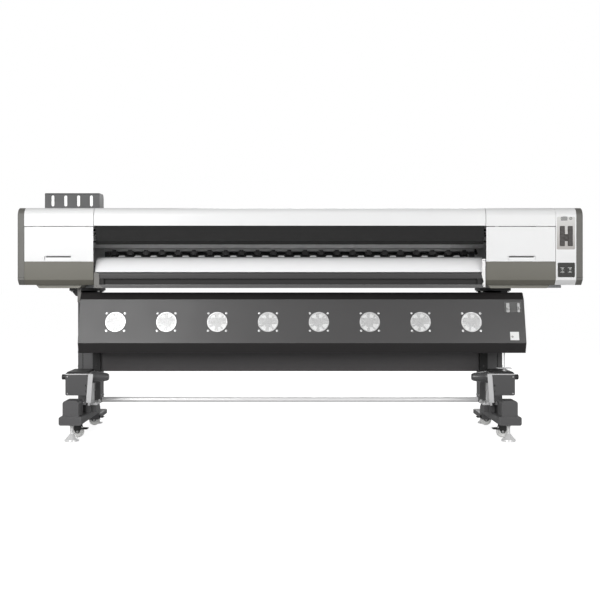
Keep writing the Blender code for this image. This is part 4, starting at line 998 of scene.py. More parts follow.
# Rear guide and entry brush: a smooth aluminium sheet leads the media up from behind, under a black brush
# strip that wipes it and closes the slot below the rear cover.
guide = curved_sheet((0.260, 0.795), 0.150, 90, 0, SPAN, SHEET, 20)
flat_run = slab((SPAN[0], 0.0285, PLATEN_Z - SHEET), (SPAN[1], 0.2600, PLATEN_Z))
bmesh.ops.bisect_plane(flat_run, geom=flat_run.verts[:] + flat_run.edges[:] + flat_run.faces[:],
                       plane_co=(0, 0.2600, 0), plane_no=(0, 1, 0))
guide_metal = coated("guide_anodised", (0.60, 0.61, 0.62), (0.54, 0.55, 0.56), 0.34, cells=1500,
                     relief=0.00002,
                     worn=(0.8, 0.8, 0.8), wear=0.3, metallic=0.8)
finish_piece("rear_guide_sheet", joined(guide, flat_run), guide_metal, "main_frame",
             ["rear_media_guide"], edge=0.0003)
bristle_black = coated("brush_bristles", (0.20, 0.20, 0.20), (0.26, 0.26, 0.26), 0.7, cells=260, relief=0.002,
                       wear=0.0, dust=0.1)
holder = slab((OPENING[0] + 0.004, 0.2885, 0.9850), (OPENING[1] - 0.004, 0.2965, 0.9990))
bristles = slab((OPENING[0] + 0.005, 0.2905, 0.9475), (OPENING[1] - 0.005, 0.2945, 0.9860))
finish_piece("entry_brush_holder", holder, guide_metal, "main_frame", edge=0.0008)
finish_piece("entry_brush_bristles", bristles, bristle_black, "main_frame", edge=0.0005)

# Print carriage and its beam: a light anodised aluminium box beam carries a ground rail and a toothed belt;
# the black moulded carriage slides on it, with its heads below and a row of ink dampers on top.
beam_metal = coated("beam_anodised", (0.86, 0.86, 0.86), (0.78, 0.78, 0.78), 0.48, cells=1500, relief=0.00003,
                    worn=(0.9, 0.9, 0.9), wear=0.2, metallic=0.15)
beam = slab((-1.3845, -0.045, 0.997), (1.3845, 0.065, 1.115))
round_along(beam, 0, 0.002, 2)
slots = [slab((-1.3845, -0.0453, z), (1.3845, -0.0448, z + 0.0060)) for z in (1.028, 1.074)]
finish_piece("carriage_beam_profile", beam, beam_metal, "main_frame",
             ["carriage_beam"], edge=0)
finish_piece("carriage_beam_slots", joined(*slots), vent_black, "main_frame", edge=0)
ground_steel = coated("ground_steel", (0.58, 0.58, 0.59), (0.50, 0.50, 0.51), 0.22, cells=2000,
                      relief=0.00001,
                      worn=(0.8, 0.8, 0.8), wear=0.2, metallic=0.95, dust=0.02)
track = slab((-1.3845, -0.060, 1.055), (1.3845, -0.0445, 1.070))
round_along(track, 0, 0.0015, 2)
track_screws = [dome_screw((-1.32 + i * 0.12, -0.060, 1.0625), (0, -1, 0), 0.0022) for i in range(23)]
finish_piece("linear_track", joined(track, *track_screws), ground_steel, "main_frame", edge=0)
belt_rubber = coated("belt_rubber", (0.016, 0.016, 0.016), (0.024, 0.024, 0.024), 0.75, cells=900,
                     relief=0.0001,
                     wear=0.1)
belt = folded_sheet([(-0.0530, 1.0880), (-0.0530, 1.1000)], [], (-1.345, 1.345), 0.0014, (0, -1, 0))
pulleys = [bar((x, -0.050, 1.0870), (x, -0.050, 1.1010), 0.0042, 20) for x in (-1.345, 1.345)]
finish_piece("carriage_belt", joined(belt, *pulleys), belt_rubber, "main_frame", edge=0.0002)

CARRIAGE_X = (1.010, 1.250)
cover = slab((CARRIAGE_X[0], -0.185, 0.957), (CARRIAGE_X[1], -0.062, 1.165))
round_along(cover, 0, 0.015, 5, lambda at: at.z > 1.1 and at.y < -0.1)
round_along(cover, 2, 0.008, 4, lambda at: at.y < -0.1)
rib = slab((CARRIAGE_X[0] + 0.02, -0.1862, 1.030), (CARRIAGE_X[1] - 0.02, -0.184, 1.036))
finish_piece("carriage_cover", joined(cover, rib), soft_black, "carriage",
             ["print_carriage"], edge=0.0012)
cheeks = [
    slab((CARRIAGE_X[0] + 0.01, -0.063, 1.071), (CARRIAGE_X[1] - 0.01, -0.0465, 1.081)),
    slab((CARRIAGE_X[0] + 0.01, -0.063, 1.044), (CARRIAGE_X[1] - 0.01, -0.0465, 1.054)),
]
finish_piece("carriage_slider", joined(*cheeks), ground_steel, "carriage", edge=0.001)
heads, dampers = [], []
for i in range(4):
    x = CARRIAGE_X[0] + 0.048 + 0.048 * i
    heads.append(slab((x - 0.014, -0.172, 0.9505), (x + 0.014, -0.088, 0.9580)))
    damper = slab((x - 0.011, -0.160, 1.1640), (x + 0.011, -0.100, 1.1655))
    dampers.append(damper)
finish_piece("print_head_plates", joined(*heads), ground_steel, "carriage", edge=0.0005)
finish_piece("damper_labels", joined(*dampers), nub_white, "carriage", edge=0.0003)

cap_tray = slab((CARRIAGE_X[0] + 0.02, -0.200, 0.9005), (CARRIAGE_X[1] - 0.02, -0.060, 0.935))
round_along(cap_tray, 2, 0.004)
finish_piece("capping_tray", cap_tray, soft_black, "main_frame", ["capping_station"],
             edge=0.0008)
wiper_rubber = coated("cap_rubber", (0.10, 0.10, 0.10), (0.075, 0.075, 0.075), 0.8, cells=700,
                      relief=0.0001, wear=0.1)
pads = []
for i in range(4):
    x = CARRIAGE_X[0] + 0.048 + 0.048 * i
    pad = slab((x - 0.017, -0.180, 0.934), (x + 0.017, -0.080, 0.946))
    top = [f for f in pad.faces if f.calc_center_median().z > 0.9459]
    rim = bmesh.ops.inset_region(pad, faces=top, thickness=0.003)
    bmesh.ops.translate(pad, verts=top[0].verts, vec=(0, 0, -0.005))
    pads.append(pad)
finish_piece("capping_pads", joined(*pads), wiper_rubber, "main_frame", edge=0.0006)

# Feed rollers: a grit roller with coated bands under 23 sprung rubber pinch wheels. Each wheel hangs in a
# black moulded arm on one lifting shaft, which a lever at the right end turns.
grit_metal = coated("grit_roller_steel", (0.50, 0.50, 0.50), (0.40, 0.40, 0.40), 0.36, cells=2600,
                    relief=0.0002,
                    worn=(0.7, 0.7, 0.7), wear=0.1, metallic=0.9)
GRIT_Y, GRIT_Z = 0.010, 0.9313
outline = [(0.0, -0.019), (0.008, -0.019), (0.008, 0.0)]
left_end = OPENING[0] + 0.0025
length = OPENING[1] - 0.0025 - left_end
for x in PINCH_X:
    at = x - left_end
    outline += [(0.0134, at - 0.024), (0.0140, at - 0.023), (0.0140, at + 0.023), (0.0134, at + 0.024)]
outline += [(0.0134, length), (0.008, length), (0.008, length + 0.019), (0.0, length + 0.019)]


def turned_bar(profile, place, axis, steps=32):
    """A turned part: (radius, height) points spun about an axis that starts at a place."""
    shape = bmesh.new()
    line = [shape.verts.new((r, 0, h)) for r, h in profile]
    runs = [shape.edges.new(pair) for pair in zip(line, line[1:])]
    bmesh.ops.spin(shape, geom=line + runs, axis=(0, 0, 1), angle=math.tau, steps=steps, use_merge=True)
    bmesh.ops.remove_doubles(shape, verts=shape.verts, dist=1e-6)
    bmesh.ops.recalc_face_normals(shape, faces=shape.faces)
    turn = Vector((0, 0, 1)).rotation_difference(Vector(axis)).to_matrix().to_4x4()
    return placed(shape, Matrix.Translation(place) @ turn)


roller = turned_bar(outline, (left_end, GRIT_Y, GRIT_Z), (1, 0, 0), 24)
finish_piece("grit_feed_roller", roller, grit_metal, "grit_roller", ["grit_roller"], edge=0)
bar_grey = coated("pinch_bar_paint", (0.44, 0.44, 0.44), (0.38, 0.38, 0.38), 0.42, wear=0.25,
                  worn=(0.4, 0.4, 0.4))
pinch_rail = slab((left_end, -0.005, 0.9805), (OPENING[1] - 0.0025, 0.060, 0.9965))
round_along(pinch_rail, 0, 0.0015, 2)
finish_piece("pinch_rail", pinch_rail, bar_grey, "main_frame", ["pinch_bar"], edge=0)

wheel_rubber = coated("pinch_wheel_rubber", (0.014, 0.014, 0.014), (0.022, 0.022, 0.022), 0.62, cells=900,
                      relief=0.0001, wear=0.1)
SHAFT_Y, SHAFT_Z, WHEEL_Z, WHEEL_R = 0.045, 0.972, 0.9578, 0.012
arm_line = [
    (SHAFT_Y + 0.0070, SHAFT_Z - 0.0050), (SHAFT_Y + 0.0070, SHAFT_Z + 0.0055),
    (SHAFT_Y - 0.0080, SHAFT_Z + 0.0060),
    (GRIT_Y - 0.0195, WHEEL_Z + 0.0132), (GRIT_Y - 0.0200, WHEEL_Z + 0.0300),
    (GRIT_Y - 0.0240, WHEEL_Z + 0.0270),
    (GRIT_Y - 0.0240, WHEEL_Z + 0.0020), (GRIT_Y - 0.0125, WHEEL_Z - 0.0015),
    (GRIT_Y - 0.0090, WHEEL_Z - 0.0050), (GRIT_Y + 0.0040, WHEEL_Z - 0.0030),
]
arms, wheels = [], []
for x in PINCH_X:
    arm = bmesh.new()
    face = arm.faces.new([arm.verts.new((x - 0.0110, y, z)) for y, z in arm_line])
    grown = bmesh.ops.extrude_face_region(arm, geom=[face])["geom"]
    bmesh.ops.translate(arm, verts=[item for item in grown if isinstance(item, bmesh.types.BMVert)],
                        vec=(0.022, 0, 0))
    bmesh.ops.recalc_face_normals(arm, faces=arm.faces)
    arms.append(arm)
    shoulder = slab((x - 0.0195, GRIT_Y - 0.0215, WHEEL_Z + 0.0080),
                    (x + 0.0195, GRIT_Y - 0.0190, WHEEL_Z + 0.0225))
    arms.append(shoulder)
    rim = [(0.0, -0.0205), (0.0100, -0.0205), (WHEEL_R, -0.0190), (WHEEL_R, -0.0130), (0.0075, -0.0125),
           (0.0075, 0.0125), (WHEEL_R, 0.0130), (WHEEL_R, 0.0190), (0.0100, 0.0205), (0.0, 0.0205)]
    wheels.append(turned_bar(rim, (x, GRIT_Y, WHEEL_Z), (1, 0, 0), 20))
shaft = bar((PINCH_X[0] - 0.03, SHAFT_Y, SHAFT_Z), (0.984, SHAFT_Y, SHAFT_Z), 0.0045, 16)
lever = bmesh.new()
lever_line = [(-0.006, -0.004), (0.002, -0.008), (0.078, 0.052), (0.072, 0.060)]
face = lever.faces.new([lever.verts.new((0.970, SHAFT_Y + v, SHAFT_Z + w)) for v, w in lever_line])
grown = bmesh.ops.extrude_face_region(lever, geom=[face])["geom"]
bmesh.ops.translate(lever, verts=[item for item in grown if isinstance(item, bmesh.types.BMVert)],
                    vec=(0.012, 0, 0))
bmesh.ops.recalc_face_normals(lever, faces=lever.faces)
finish_piece("pinch_arm_row", joined(*arms, shaft, lever), soft_black, "pinch_arms",
             ["pinch_arms"],
             edge=0.0010)
finish_piece("pinch_wheel_row", joined(*wheels), wheel_rubber, "pinch_arms", edge=0)
# Black blocks at the ends of the feed slot; the left one also paints the shade the left hood casts over that
# end.
end_block = slab((-1.0665, -0.0060, 0.9475), (-1.0390, 0.0220, 0.9780))
end_block_right = slab((0.9345, -0.0060, 0.9475), (0.9580, 0.0220, 0.9780))
finish_piece("media_end_blocks_and_hood_shade", joined(end_block, end_block_right), soft_black, "main_frame",
             edge=0.001)

# Drying-fan box: 2 mm sheet folded into a long open-backed trough that leans back, grey on its face and
# black on its folded top and lip. Welded end plates close it, and a hanger strap ties its left end to the body.
FAN_BOX_X = (-1.153, 1.1725)
FACE_LOW, FACE_TOP = Vector((-0.300, 0.4968)), Vector((-0.240, 0.7209))
FACE_TILT = math.atan2(FACE_TOP.x - FACE_LOW.x, FACE_TOP.y - FACE_LOW.y)
BOX_TOP, BOX_LOW, BOX_REAR, BOX_SHEET = 0.757, 0.4436, -0.150, 0.002
FAN_X = [-0.9616 + i * 0.2648 for i in range(8)]
FAN_Z = 0.6045
FAN_Y = FACE_LOW.x + (FAN_Z - FACE_LOW.y) * math.tan(FACE_TILT)
face_grey = coated("fan_face_grey", (0.056, 0.0545, 0.055), (0.048, 0.0467, 0.0472), 0.40, cells=800,
                   relief=0.00005,
                   worn=(0.35, 0.35, 0.35), wear=0.25, dust=0.04, coat=0.05)
box_black = coated("fan_box_black", (0.014, 0.0125, 0.013), (0.020, 0.0185, 0.019), 0.45, cells=900,
                   relief=0.00005,
                   worn=(0.16, 0.16, 0.16), wear=0.3, dust=0.08)
face_length = (FACE_TOP - FACE_LOW).length
face_middle = Vector((sum(FAN_BOX_X) / 2, *((FACE_TOP + FACE_LOW) / 2)))
lean = Matrix.Rotation(math.radians(90) - FACE_TILT, 4, "X")
fan_offset = (Vector((FAN_Y, FAN_Z)) - (FACE_TOP + FACE_LOW) / 2).dot((FACE_TOP - FACE_LOW).normalized())
screw_places = [(sx * 0.0465, sy * 0.0465) for sx in (-1, 1) for sy in (-1, 1)]
face = pierced_plate(
    FAN_BOX_X[1] - FAN_BOX_X[0], face_length, 0.0004, [],
    [(x - face_middle.x, fan_offset, 0.051) for x in FAN_X],
    BOX_SHEET,
)
placed(face, Matrix.Translation(face_middle) @ lean)
finish_piece("fan_box_face", face, face_grey, "main_frame", ["fan_box"], edge=0.0005)
upper = folded_sheet(
    [tuple(FACE_TOP), (FACE_TOP.x + 0.030, BOX_TOP), (BOX_REAR, BOX_TOP), (BOX_REAR, BOX_TOP - 0.020)],
    [0.004, 0.003], FAN_BOX_X, BOX_SHEET, (0, -1, 1),
)
lower = folded_sheet(
    [tuple(FACE_LOW), (FACE_LOW.x + 0.020, BOX_LOW), (BOX_REAR, BOX_LOW), (BOX_REAR, BOX_LOW + 0.020)],
    [0.004, 0.003], FAN_BOX_X, BOX_SHEET, (0, -1, -1),
)
side_line = [
    (BOX_REAR, BOX_LOW), (FACE_LOW.x + 0.020, BOX_LOW), tuple(FACE_LOW), tuple(FACE_TOP),
    (FACE_TOP.x + 0.030, BOX_TOP),
    (BOX_REAR, BOX_TOP),
]
end_plates = []
for x in (FAN_BOX_X[0], FAN_BOX_X[1] - BOX_SHEET):
    end = bmesh.new()
    flat = end.faces.new([end.verts.new((x, y, z)) for y, z in side_line])
    grown = bmesh.ops.extrude_face_region(end, geom=[flat])["geom"]
    bmesh.ops.translate(
        end, verts=[item for item in grown if isinstance(item, bmesh.types.BMVert)], vec=(BOX_SHEET, 0, 0)
    )
    bmesh.ops.recalc_face_normals(end, faces=end.faces)
    end_plates.append(end)
finish_piece("fan_box_folds", joined(upper, lower, *end_plates), box_black, "main_frame",
             edge=0.0004)
hangers = []
for x in (-1.1720,):
    strap = slab((x, -0.2150, 0.7050), (x + 0.019, -0.2125, 0.7800))
    round_along(strap, 1, 0.003)
    hangers += [strap, slab((x, -0.2140, 0.7780), (x + 0.019, -0.1900, 0.7803))]
    hangers += [dome_screw((x + 0.0095, -0.2150, z), (0, -1, 0), 0.003) for z in (0.716, 0.765)]
finish_piece("fan_box_hangers", joined(*hangers), end_grey, "main_frame", edge=0.0004)

# Fans: eight 110 mm axial fans behind the face, each under a woven wire disc in a bright ring, held by four
# screws at its corners.
mesh_wire = coated("guard_wire", (0.86, 0.86, 0.86), (0.62, 0.62, 0.62), 0.34, cells=90, relief=0.00005,
                   wear=0.0,
                   dust=0.0, metallic=0.25)
ring_metal = coated("guard_ring", (0.86, 0.86, 0.86), (0.76, 0.76, 0.76), 0.25, wear=0.0, metallic=0.5,
                    dust=0.0)
GUARD_R, WIRE_PITCH, WIRE = 0.0512, 0.0034, 0.00080
guards, rings, screws = [], [], []
for x in FAN_X:
    at_fan = Matrix.Translation((x, FAN_Y, FAN_Z)) @ lean
    count = int(GUARD_R / WIRE_PITCH)
    for i in range(-count, count + 1):
        off = i * WIRE_PITCH
        half = math.sqrt(max(GUARD_R**2 - off**2, 0)) - 0.0004
        lift = 0.0016
        guards.append(placed(slab((-half, off - WIRE, lift), (half, off + WIRE, lift + 0.0012)), at_fan))
        guards.append(placed(slab((off - WIRE, -half, lift + 0.0007), (off + WIRE, half, lift + 0.0019)),
                             at_fan))
    ring = bmesh.new()
    profile = [(0.0480, 0.0), (0.0480, 0.0026), (0.0492, 0.0036), (0.0518, 0.0036), (0.0530, 0.0024),
               (0.0530, 0.0)]
    line = [ring.verts.new((r, 0, h)) for r, h in profile]
    runs = [ring.edges.new(pair) for pair in zip(line, line[1:])]
    bmesh.ops.spin(ring, geom=line + runs, axis=(0, 0, 1), angle=math.tau, steps=48, use_merge=True)
    bmesh.ops.recalc_face_normals(ring, faces=ring.faces)
    rings.append(placed(ring, at_fan))
    for sx, sy in screw_places:
        screws.append(dome_screw(at_fan @ Vector((sx, sy, 0.0)), at_fan.to_3x3() @ Vector((0, 0, 1)), 0.0048))
finish_piece("fan_guard_mesh", joined(*guards), mesh_wire, "main_frame", edge=0)
finish_piece("fan_guard_rings", joined(*rings), ring_metal, "main_frame", edge=0)
finish_piece("fan_guard_screws", joined(*screws), ring_metal, "main_frame", edge=0)

# Inside the fan box: black moulded fan frames on two strips, and glossier black impellers behind the guards.
# The machine's hidden steel spine, a square tube with end uprights, is galvanised.
fan_black = coated("fan_frame_moulding", (0.016, 0.016, 0.017), (0.026, 0.026, 0.027), 0.45, cells=1300,
                   wear=0.2)
blade_black = coated("impeller_moulding", (0.020, 0.020, 0.021), (0.030, 0.030, 0.031), 0.30, cells=1500,
                     relief=0.00003,
                     wear=0.1, coat=0.2)
galvanised = coated("galvanised_steel", (0.46, 0.47, 0.47), (0.36, 0.37, 0.38), 0.42, cells=140,
                    relief=0.00003,
                    worn=(0.6, 0.6, 0.6), wear=0.3, metallic=0.6, dust=0.1)
for node, finish in (("fan_frames", fan_black), ("chassis_beam", galvanised)):
    bpy.data.objects[node].material_slots[0].material = finish
for i in range(1, 9):
    bpy.data.objects[f"fan_impeller_{i}"].material_slots[0].material = blade_black

# Fan switches: a small plate at the face's right end with two pale toggles, and a plain white notice plate
# with a blank ring below it.
def on_face(shape, x, along):
    """Places a shape drawn flat about the origin on the leaning face, at X and a height along the face."""
    spot = Vector((x, *(FACE_LOW + (FACE_TOP - FACE_LOW).normalized() * along)))
    return placed(shape, Matrix.Translation(spot) @ lean)


plate_tone = coated("switch_plate_grey", (0.110, 0.110, 0.108), (0.092, 0.092, 0.090), 0.42, cells=1200,
                    wear=0.2)
toggle_steel = coated("toggle_steel", (0.46, 0.46, 0.46), (0.36, 0.36, 0.36), 0.35, cells=1200, wear=0.2,
                      metallic=0.5)
plate = on_face(pierced_plate(0.088, 0.056, 0.004, [], [], 0.0018), 1.1130, 0.1910)
bmesh.ops.translate(plate, vec=(0, -0.0018, 0.0005), verts=plate.verts)
finish_piece("fan_switch_plate", plate, plate_tone, "main_frame", edge=0.0004)
toggles, levers = [], []
for x, width in ((1.0855, 0.017), (1.1410, 0.012)):
    body = on_face(pierced_plate(width, 0.050, 0.004, [], [], 0.0055), x, 0.1870)
    bmesh.ops.translate(body, vec=(0, -0.0055, 0.0015), verts=body.verts)
    toggles.append(body)
    lever = on_face(turned_bar([(0.0, 0.004), (0.0055, 0.004), (0.0050, 0.0085), (0.0036, 0.0095),
                                (0.0034, 0.020),
                                (0.0048, 0.024), (0.0036, 0.0262), (0.0, 0.0268)], (0, 0, 0), (0, -0.3, 1),
                                20), x, 0.1870)
    levers.append(lever)
finish_piece("fan_toggle_bezels", joined(*toggles), toggle_steel, "main_frame", edge=0.0008,
             segments=3)
finish_piece("fan_toggle_levers", joined(*levers), zinc_plate, "main_frame", edge=0)
notice = on_face(pierced_plate(0.046, 0.044, 0.003, [], [], 0.0006), 1.1130, 0.0370)
bmesh.ops.translate(notice, vec=(0, -0.0008, 0), verts=notice.verts)
finish_piece("blank_notice_plate", notice, nub_white, "main_frame", edge=0.0002)
blank_ring = turned_bar([(0.0022, 0.0006), (0.0022, 0.0010), (0.0050, 0.0010), (0.0050, 0.0006)], (0, 0, 0),
                        (0, 0, 1), 24)
on_face(blank_ring, 1.1010, 0.0330)
bmesh.ops.translate(blank_ring, vec=(0, -0.0006, 0), verts=blank_ring.verts)
finish_piece("blank_notice_ring", blank_ring, end_grey, "main_frame", edge=0)

# Legs: welded steel in textured grey. Each has a channel post open inwards under a bolted flange with a
# gusset, a broad front foot with a domed hump, a lower rear foot, and arms for the fan box and feed shaft.
STAND_X, SIDES = -0.052, {"left": -1, "right": 1}
POST_IN, POST_OUT, POST_Y, WALL = 1.061, 1.160, (-0.020, 0.080), 0.004
FOOT_CENTRE, BEAM_END, BEAM_LOW = 1.116, 1.036, 0.323
FOOT_HALF, FOOT_Z, REAR_FOOT_Z = 0.058, (0.0844, 0.129), (0.052, 0.0795)
stand_grey = coated("stand_grey_powder_coat", (0.092, 0.091, 0.093), (0.077, 0.076, 0.078), 0.48, cells=650,
                    relief=0.00012, worn=(0.30, 0.30, 0.30), wear=0.4, dust=0.10)
# Black moulding for plugs, latches and joint lines; also used for the cross-beam end blocks that paint the
# shade at the posts.
plug_black_and_gap_shade = coated("plug_moulding_and_gap_shade", (0.008, 0.008, 0.008), (0.012, 0.012, 0.012), 0.65, cells=1100,
                    wear=0.2)


def side_slab(side, across, y, z):
    """A box on one side of the stand; its X range counts outwards from the stand's middle."""
    ends = sorted(STAND_X + SIDES[side] * offset for offset in across)
    return slab((ends[0], y[0], z[0]), (ends[1], y[1], z[1]))


def side_at(side, offset):
    return STAND_X + SIDES[side] * offset


def hex_bolt(place, outward, across, height):
    """A hexagon-head bolt on a round washer."""
    head = bmesh.new()
    bmesh.ops.create_circle(head, cap_ends=True, segments=6, radius=across / 2)
    grown = bmesh.ops.extrude_face_region(head, geom=head.faces[:])["geom"]
    bmesh.ops.translate(head, verts=[item for item in grown if isinstance(item, bmesh.types.BMVert)],
                        vec=(0, 0, height))
    top = [f for f in head.faces if f.calc_center_median().z > height * 0.99]
    bmesh.ops.inset_region(head, faces=top, thickness=across * 0.07)
    bmesh.ops.translate(head, verts=top[0].verts, vec=(0, 0, across * 0.04))
    bmesh.ops.recalc_face_normals(head, faces=head.faces)
    washer = bmesh.new()
    bmesh.ops.create_cone(washer, cap_ends=True, segments=20, radius1=across * 0.75, radius2=across * 0.72,
                          depth=across * 0.16)
    turn = Vector((0, 0, 1)).rotation_difference(Vector(outward)).to_matrix().to_4x4()
    return placed(joined(head, washer), Matrix.Translation(place) @ turn)


for side, sign in SIDES.items():
    channel = folded_sheet(
        [(POST_Y[0], -side_at(side, POST_IN)), (POST_Y[0], -side_at(side, POST_OUT)),
         (POST_Y[1], -side_at(side, POST_OUT)), (POST_Y[1], -side_at(side, POST_IN))],
        [0.007, 0.007], (FOOT_Z[1] - 0.002, 0.770), WALL, (0, -1, 0),
    )
    placed(channel, Matrix.Rotation(math.radians(-90), 4, "Y"))
    lip_front = side_slab(side, (POST_IN, POST_IN + WALL), (POST_Y[0] + WALL, POST_Y[0] + 0.020),
                          (FOOT_Z[1], 0.766))
    lip_rear = side_slab(side, (POST_IN, POST_IN + WALL), (POST_Y[1] - 0.020, POST_Y[1] - WALL),
                         (FOOT_Z[1], 0.766))
    foot = side_slab(side, (FOOT_CENTRE - FOOT_HALF, FOOT_CENTRE + FOOT_HALF), (-0.410, 0.090), FOOT_Z)
    round_along(foot, 1, 0.010, 5)
    rear_foot = side_slab(side, (FOOT_CENTRE - FOOT_HALF, FOOT_CENTRE + FOOT_HALF), (0.040, 0.292),
                          REAR_FOOT_Z)
    round_along(rear_foot, 1, 0.006, 4)
    step = side_slab(side, (FOOT_CENTRE - FOOT_HALF, FOOT_CENTRE + FOOT_HALF), (0.041, 0.0895),
                     (REAR_FOOT_Z[0] + 0.001, FOOT_Z[0] + 0.010))
    hump = side_slab(side, (FOOT_CENTRE - 0.0405, FOOT_CENTRE + 0.0405), (-0.400, -0.2915),
                     (FOOT_Z[1] - 0.006, 0.208))
    crown_edges = [e for e in hump.edges if abs((e.verts[0].co - e.verts[1].co).normalized().y) > 0.99
                   and e.verts[0].co.z > 0.19]
    bmesh.ops.bevel(hump, geom=crown_edges, offset=0.014, offset_type="OFFSET", segments=6, profile=0.5,
                    affect="EDGES", material=-1)
    flange = side_slab(side, (FOOT_CENTRE - 0.085, FOOT_CENTRE + 0.085), (-0.050, 0.110), (0.765, 0.780))
    round_along(flange, 2, 0.008)
    gussets = []
    for y in (POST_Y[0], POST_Y[1] - WALL):
        web = side_slab(side, (FOOT_CENTRE - 0.080, FOOT_CENTRE + 0.080), (y, y + WALL), (0.735, 0.7655))
        for vert in web.verts:
            if vert.co.z < 0.74:
                vert.co.x = side_at(side,
                                    FOOT_CENTRE) + (0.055 if vert.co.x > side_at(side,
                                        FOOT_CENTRE) else -0.055)
        gussets.append(web)
    socket = side_slab(side, (BEAM_END + 0.0005, 1.100), (POST_Y[0] + 0.002, POST_Y[1] - 0.002),
                       (0.150, BEAM_LOW - 0.0005))
    round_along(socket, 0, 0.004)
    fan_arms = [
        side_slab(side, (1.075, 1.095), (-0.1495, POST_Y[0] + 0.002), z) for z in ((0.739, 0.755),
            (0.446, 0.462))
    ]
    feed_arm = side_slab(side, (1.062, 1.070), (POST_Y[1] - 0.003, 0.270), (0.545, 0.620))
    round_along(feed_arm, 0, 0.022, 6, lambda at: at.y > 0.2)
    leg = joined(channel, lip_front, lip_rear, foot, rear_foot, step, hump, flange, *gussets, socket,
                 *fan_arms, feed_arm)
    finish_piece(f"{side}_leg_weldment", leg, stand_grey, "main_frame", [f"{side}_leg"],
                 edge=0.0012,
                 segments=3)
    centre = side_at(side, FOOT_CENTRE)
    plugs = []
    for y, z, outwards in ((-0.4095, FOOT_Z, -1), (0.2915, REAR_FOOT_Z, 1)):
        plug = slab((centre - FOOT_HALF + 0.006, min(y, y + outwards * 0.0006), z[0] + 0.005),
                    (centre + FOOT_HALF - 0.006, max(y, y + outwards * 0.0006), z[1] - 0.005))
        plugs.append(round_along(plug, 1, 0.006))
    finish_piece(f"{side}_foot_seams", joined(*plugs), stand_grey, "main_frame", edge=0.0002)
    bolts = []
    for dx in (-0.072, 0.072):
        for y in (-0.034, 0.094):
            bolts.append(hex_bolt((centre + dx, y, 0.7650), (0, 0, -1), 0.014, 0.0065))
    for y, z in ((0.000, 0.290), (0.060, 0.290), (0.000, 0.190), (0.060, 0.190)):
        bolts.append(hex_bolt((side_at(side, BEAM_END + 0.0005), y, z), (-sign, 0, 0), 0.010, 0.005))
    for z in (0.350, 0.428):
        for y in (0.012, 0.048):
            bolts.append(hex_bolt((side_at(side, POST_OUT), y, z), (sign, 0, 0), 0.012, 0.006))
    groove = side_slab(side, (1.1300, 1.1345), (POST_Y[0] - 0.0006, POST_Y[0] + 0.001), (0.225, 0.734))
    finish_piece(f"{side}_post_cover_joint", groove, plug_black_and_gap_shade, "main_frame", edge=0.0002)
    finish_piece(f"{side}_leg_bolts", joined(*bolts), zinc_plate, "main_frame", edge=0.0003)

# Cross members: a deep rectangular tube bolted between the posts, with black blocks at its ends that paint the
# shadow gap at the posts and the shade inside their channels; a thin silver guide tube near the floor, and the
# turned feed shaft with its flanged stops behind.
fork_black_steel = coated("blackened_bolts", (0.018, 0.018, 0.018), (0.026, 0.026, 0.026), 0.35, cells=900,
                          relief=0.00004, worn=(0.2, 0.2, 0.2), wear=0.3, metallic=0.4)
beam_grey = coated("cross_beam_powder_coat", (0.082, 0.078, 0.080), (0.068, 0.064, 0.066), 0.45, cells=800,
                   relief=0.00006, worn=(0.25, 0.25, 0.25), wear=0.3, dust=0.08, coat=0.05)
cross = slab((STAND_X - BEAM_END, 0.000, BEAM_LOW), (STAND_X + BEAM_END, 0.060, 0.455))
round_along(cross, 0, 0.005, 4)
finish_piece("cross_beam_tube", cross, beam_grey, "main_frame", ["cross_beam"], edge=0.0005)
# Black blocks at the tube's ends and inside the posts' channels: painted shade of the gap and of the channel.
beam_end_shade, end_bolts = [], []
for side, sign in SIDES.items():
    reach = side_slab(side, (BEAM_END - 0.004, POST_OUT - WALL - 0.0005), (0.004, 0.056),
                      (BEAM_LOW + 0.004, 0.451))
    face = side_slab(side, (BEAM_END + 0.001, 1.0790), (POST_Y[0] - 0.0008, 0.004), (BEAM_LOW + 0.001, 0.470))
    beam_end_shade += [round_along(reach, 0, 0.004), face]
    for z in (0.352, 0.426):
        end_bolts.append(hex_bolt((side_at(side, 1.058), POST_Y[0] - 0.0008, z), (0, -1, 0), 0.009, 0.003))
finish_piece("cross_beam_end_shade_blocks", joined(*beam_end_shade), plug_black_and_gap_shade, "main_frame",
             edge=0.0004)
finish_piece("cross_beam_end_bolts", joined(*end_bolts), fork_black_steel, "main_frame",
             edge=0.0002)

tube_silver = coated("guide_tube_anodised", (0.94, 0.94, 0.94), (0.90, 0.90, 0.90), 0.30, cells=1600,
                     relief=0.00001,
                     worn=(0.9, 0.9, 0.9), wear=0.0, metallic=0.25, dust=0.0)
half = 1.0355
tube_line = [(0, -half - 0.010), (0.006, -half - 0.010), (0.006, -half), (0.0125, -half),
             (0.0140, -half + 0.0015),
             (0.0140, half - 0.0015), (0.0125, half), (0.006, half), (0.006, half + 0.010), (0, half + 0.010)]
tube = turned_bar(tube_line, (STAND_X, 0.030, 0.165), (1, 0, 0), 32)
finish_piece("guide_tube_bar", tube, tube_silver, "guide_tube", ["guide_tube"], edge=0)
inner = 1.061
half_feed = [(0, -inner - 0.006), (0.0125, -inner - 0.006), (0.0125, -inner), (0.0175, -inner),
             (0.019, -inner + 0.0015),
             (0.019, -0.930), (0.048, -0.930), (0.050, -0.928), (0.050, -0.923), (0.047, -0.9205),
             (0.026, -0.918),
             (0.022, -0.905), (0.019, -0.903)]
feed_line = half_feed + [(r, -h) for r, h in reversed(half_feed)]
feed = turned_bar(feed_line, (STAND_X, 0.240, 0.590), (1, 0, 0), 36)
finish_piece("feed_shaft_bar", feed, ground_steel, "feed_shaft", ["feed_shaft"], edge=0)

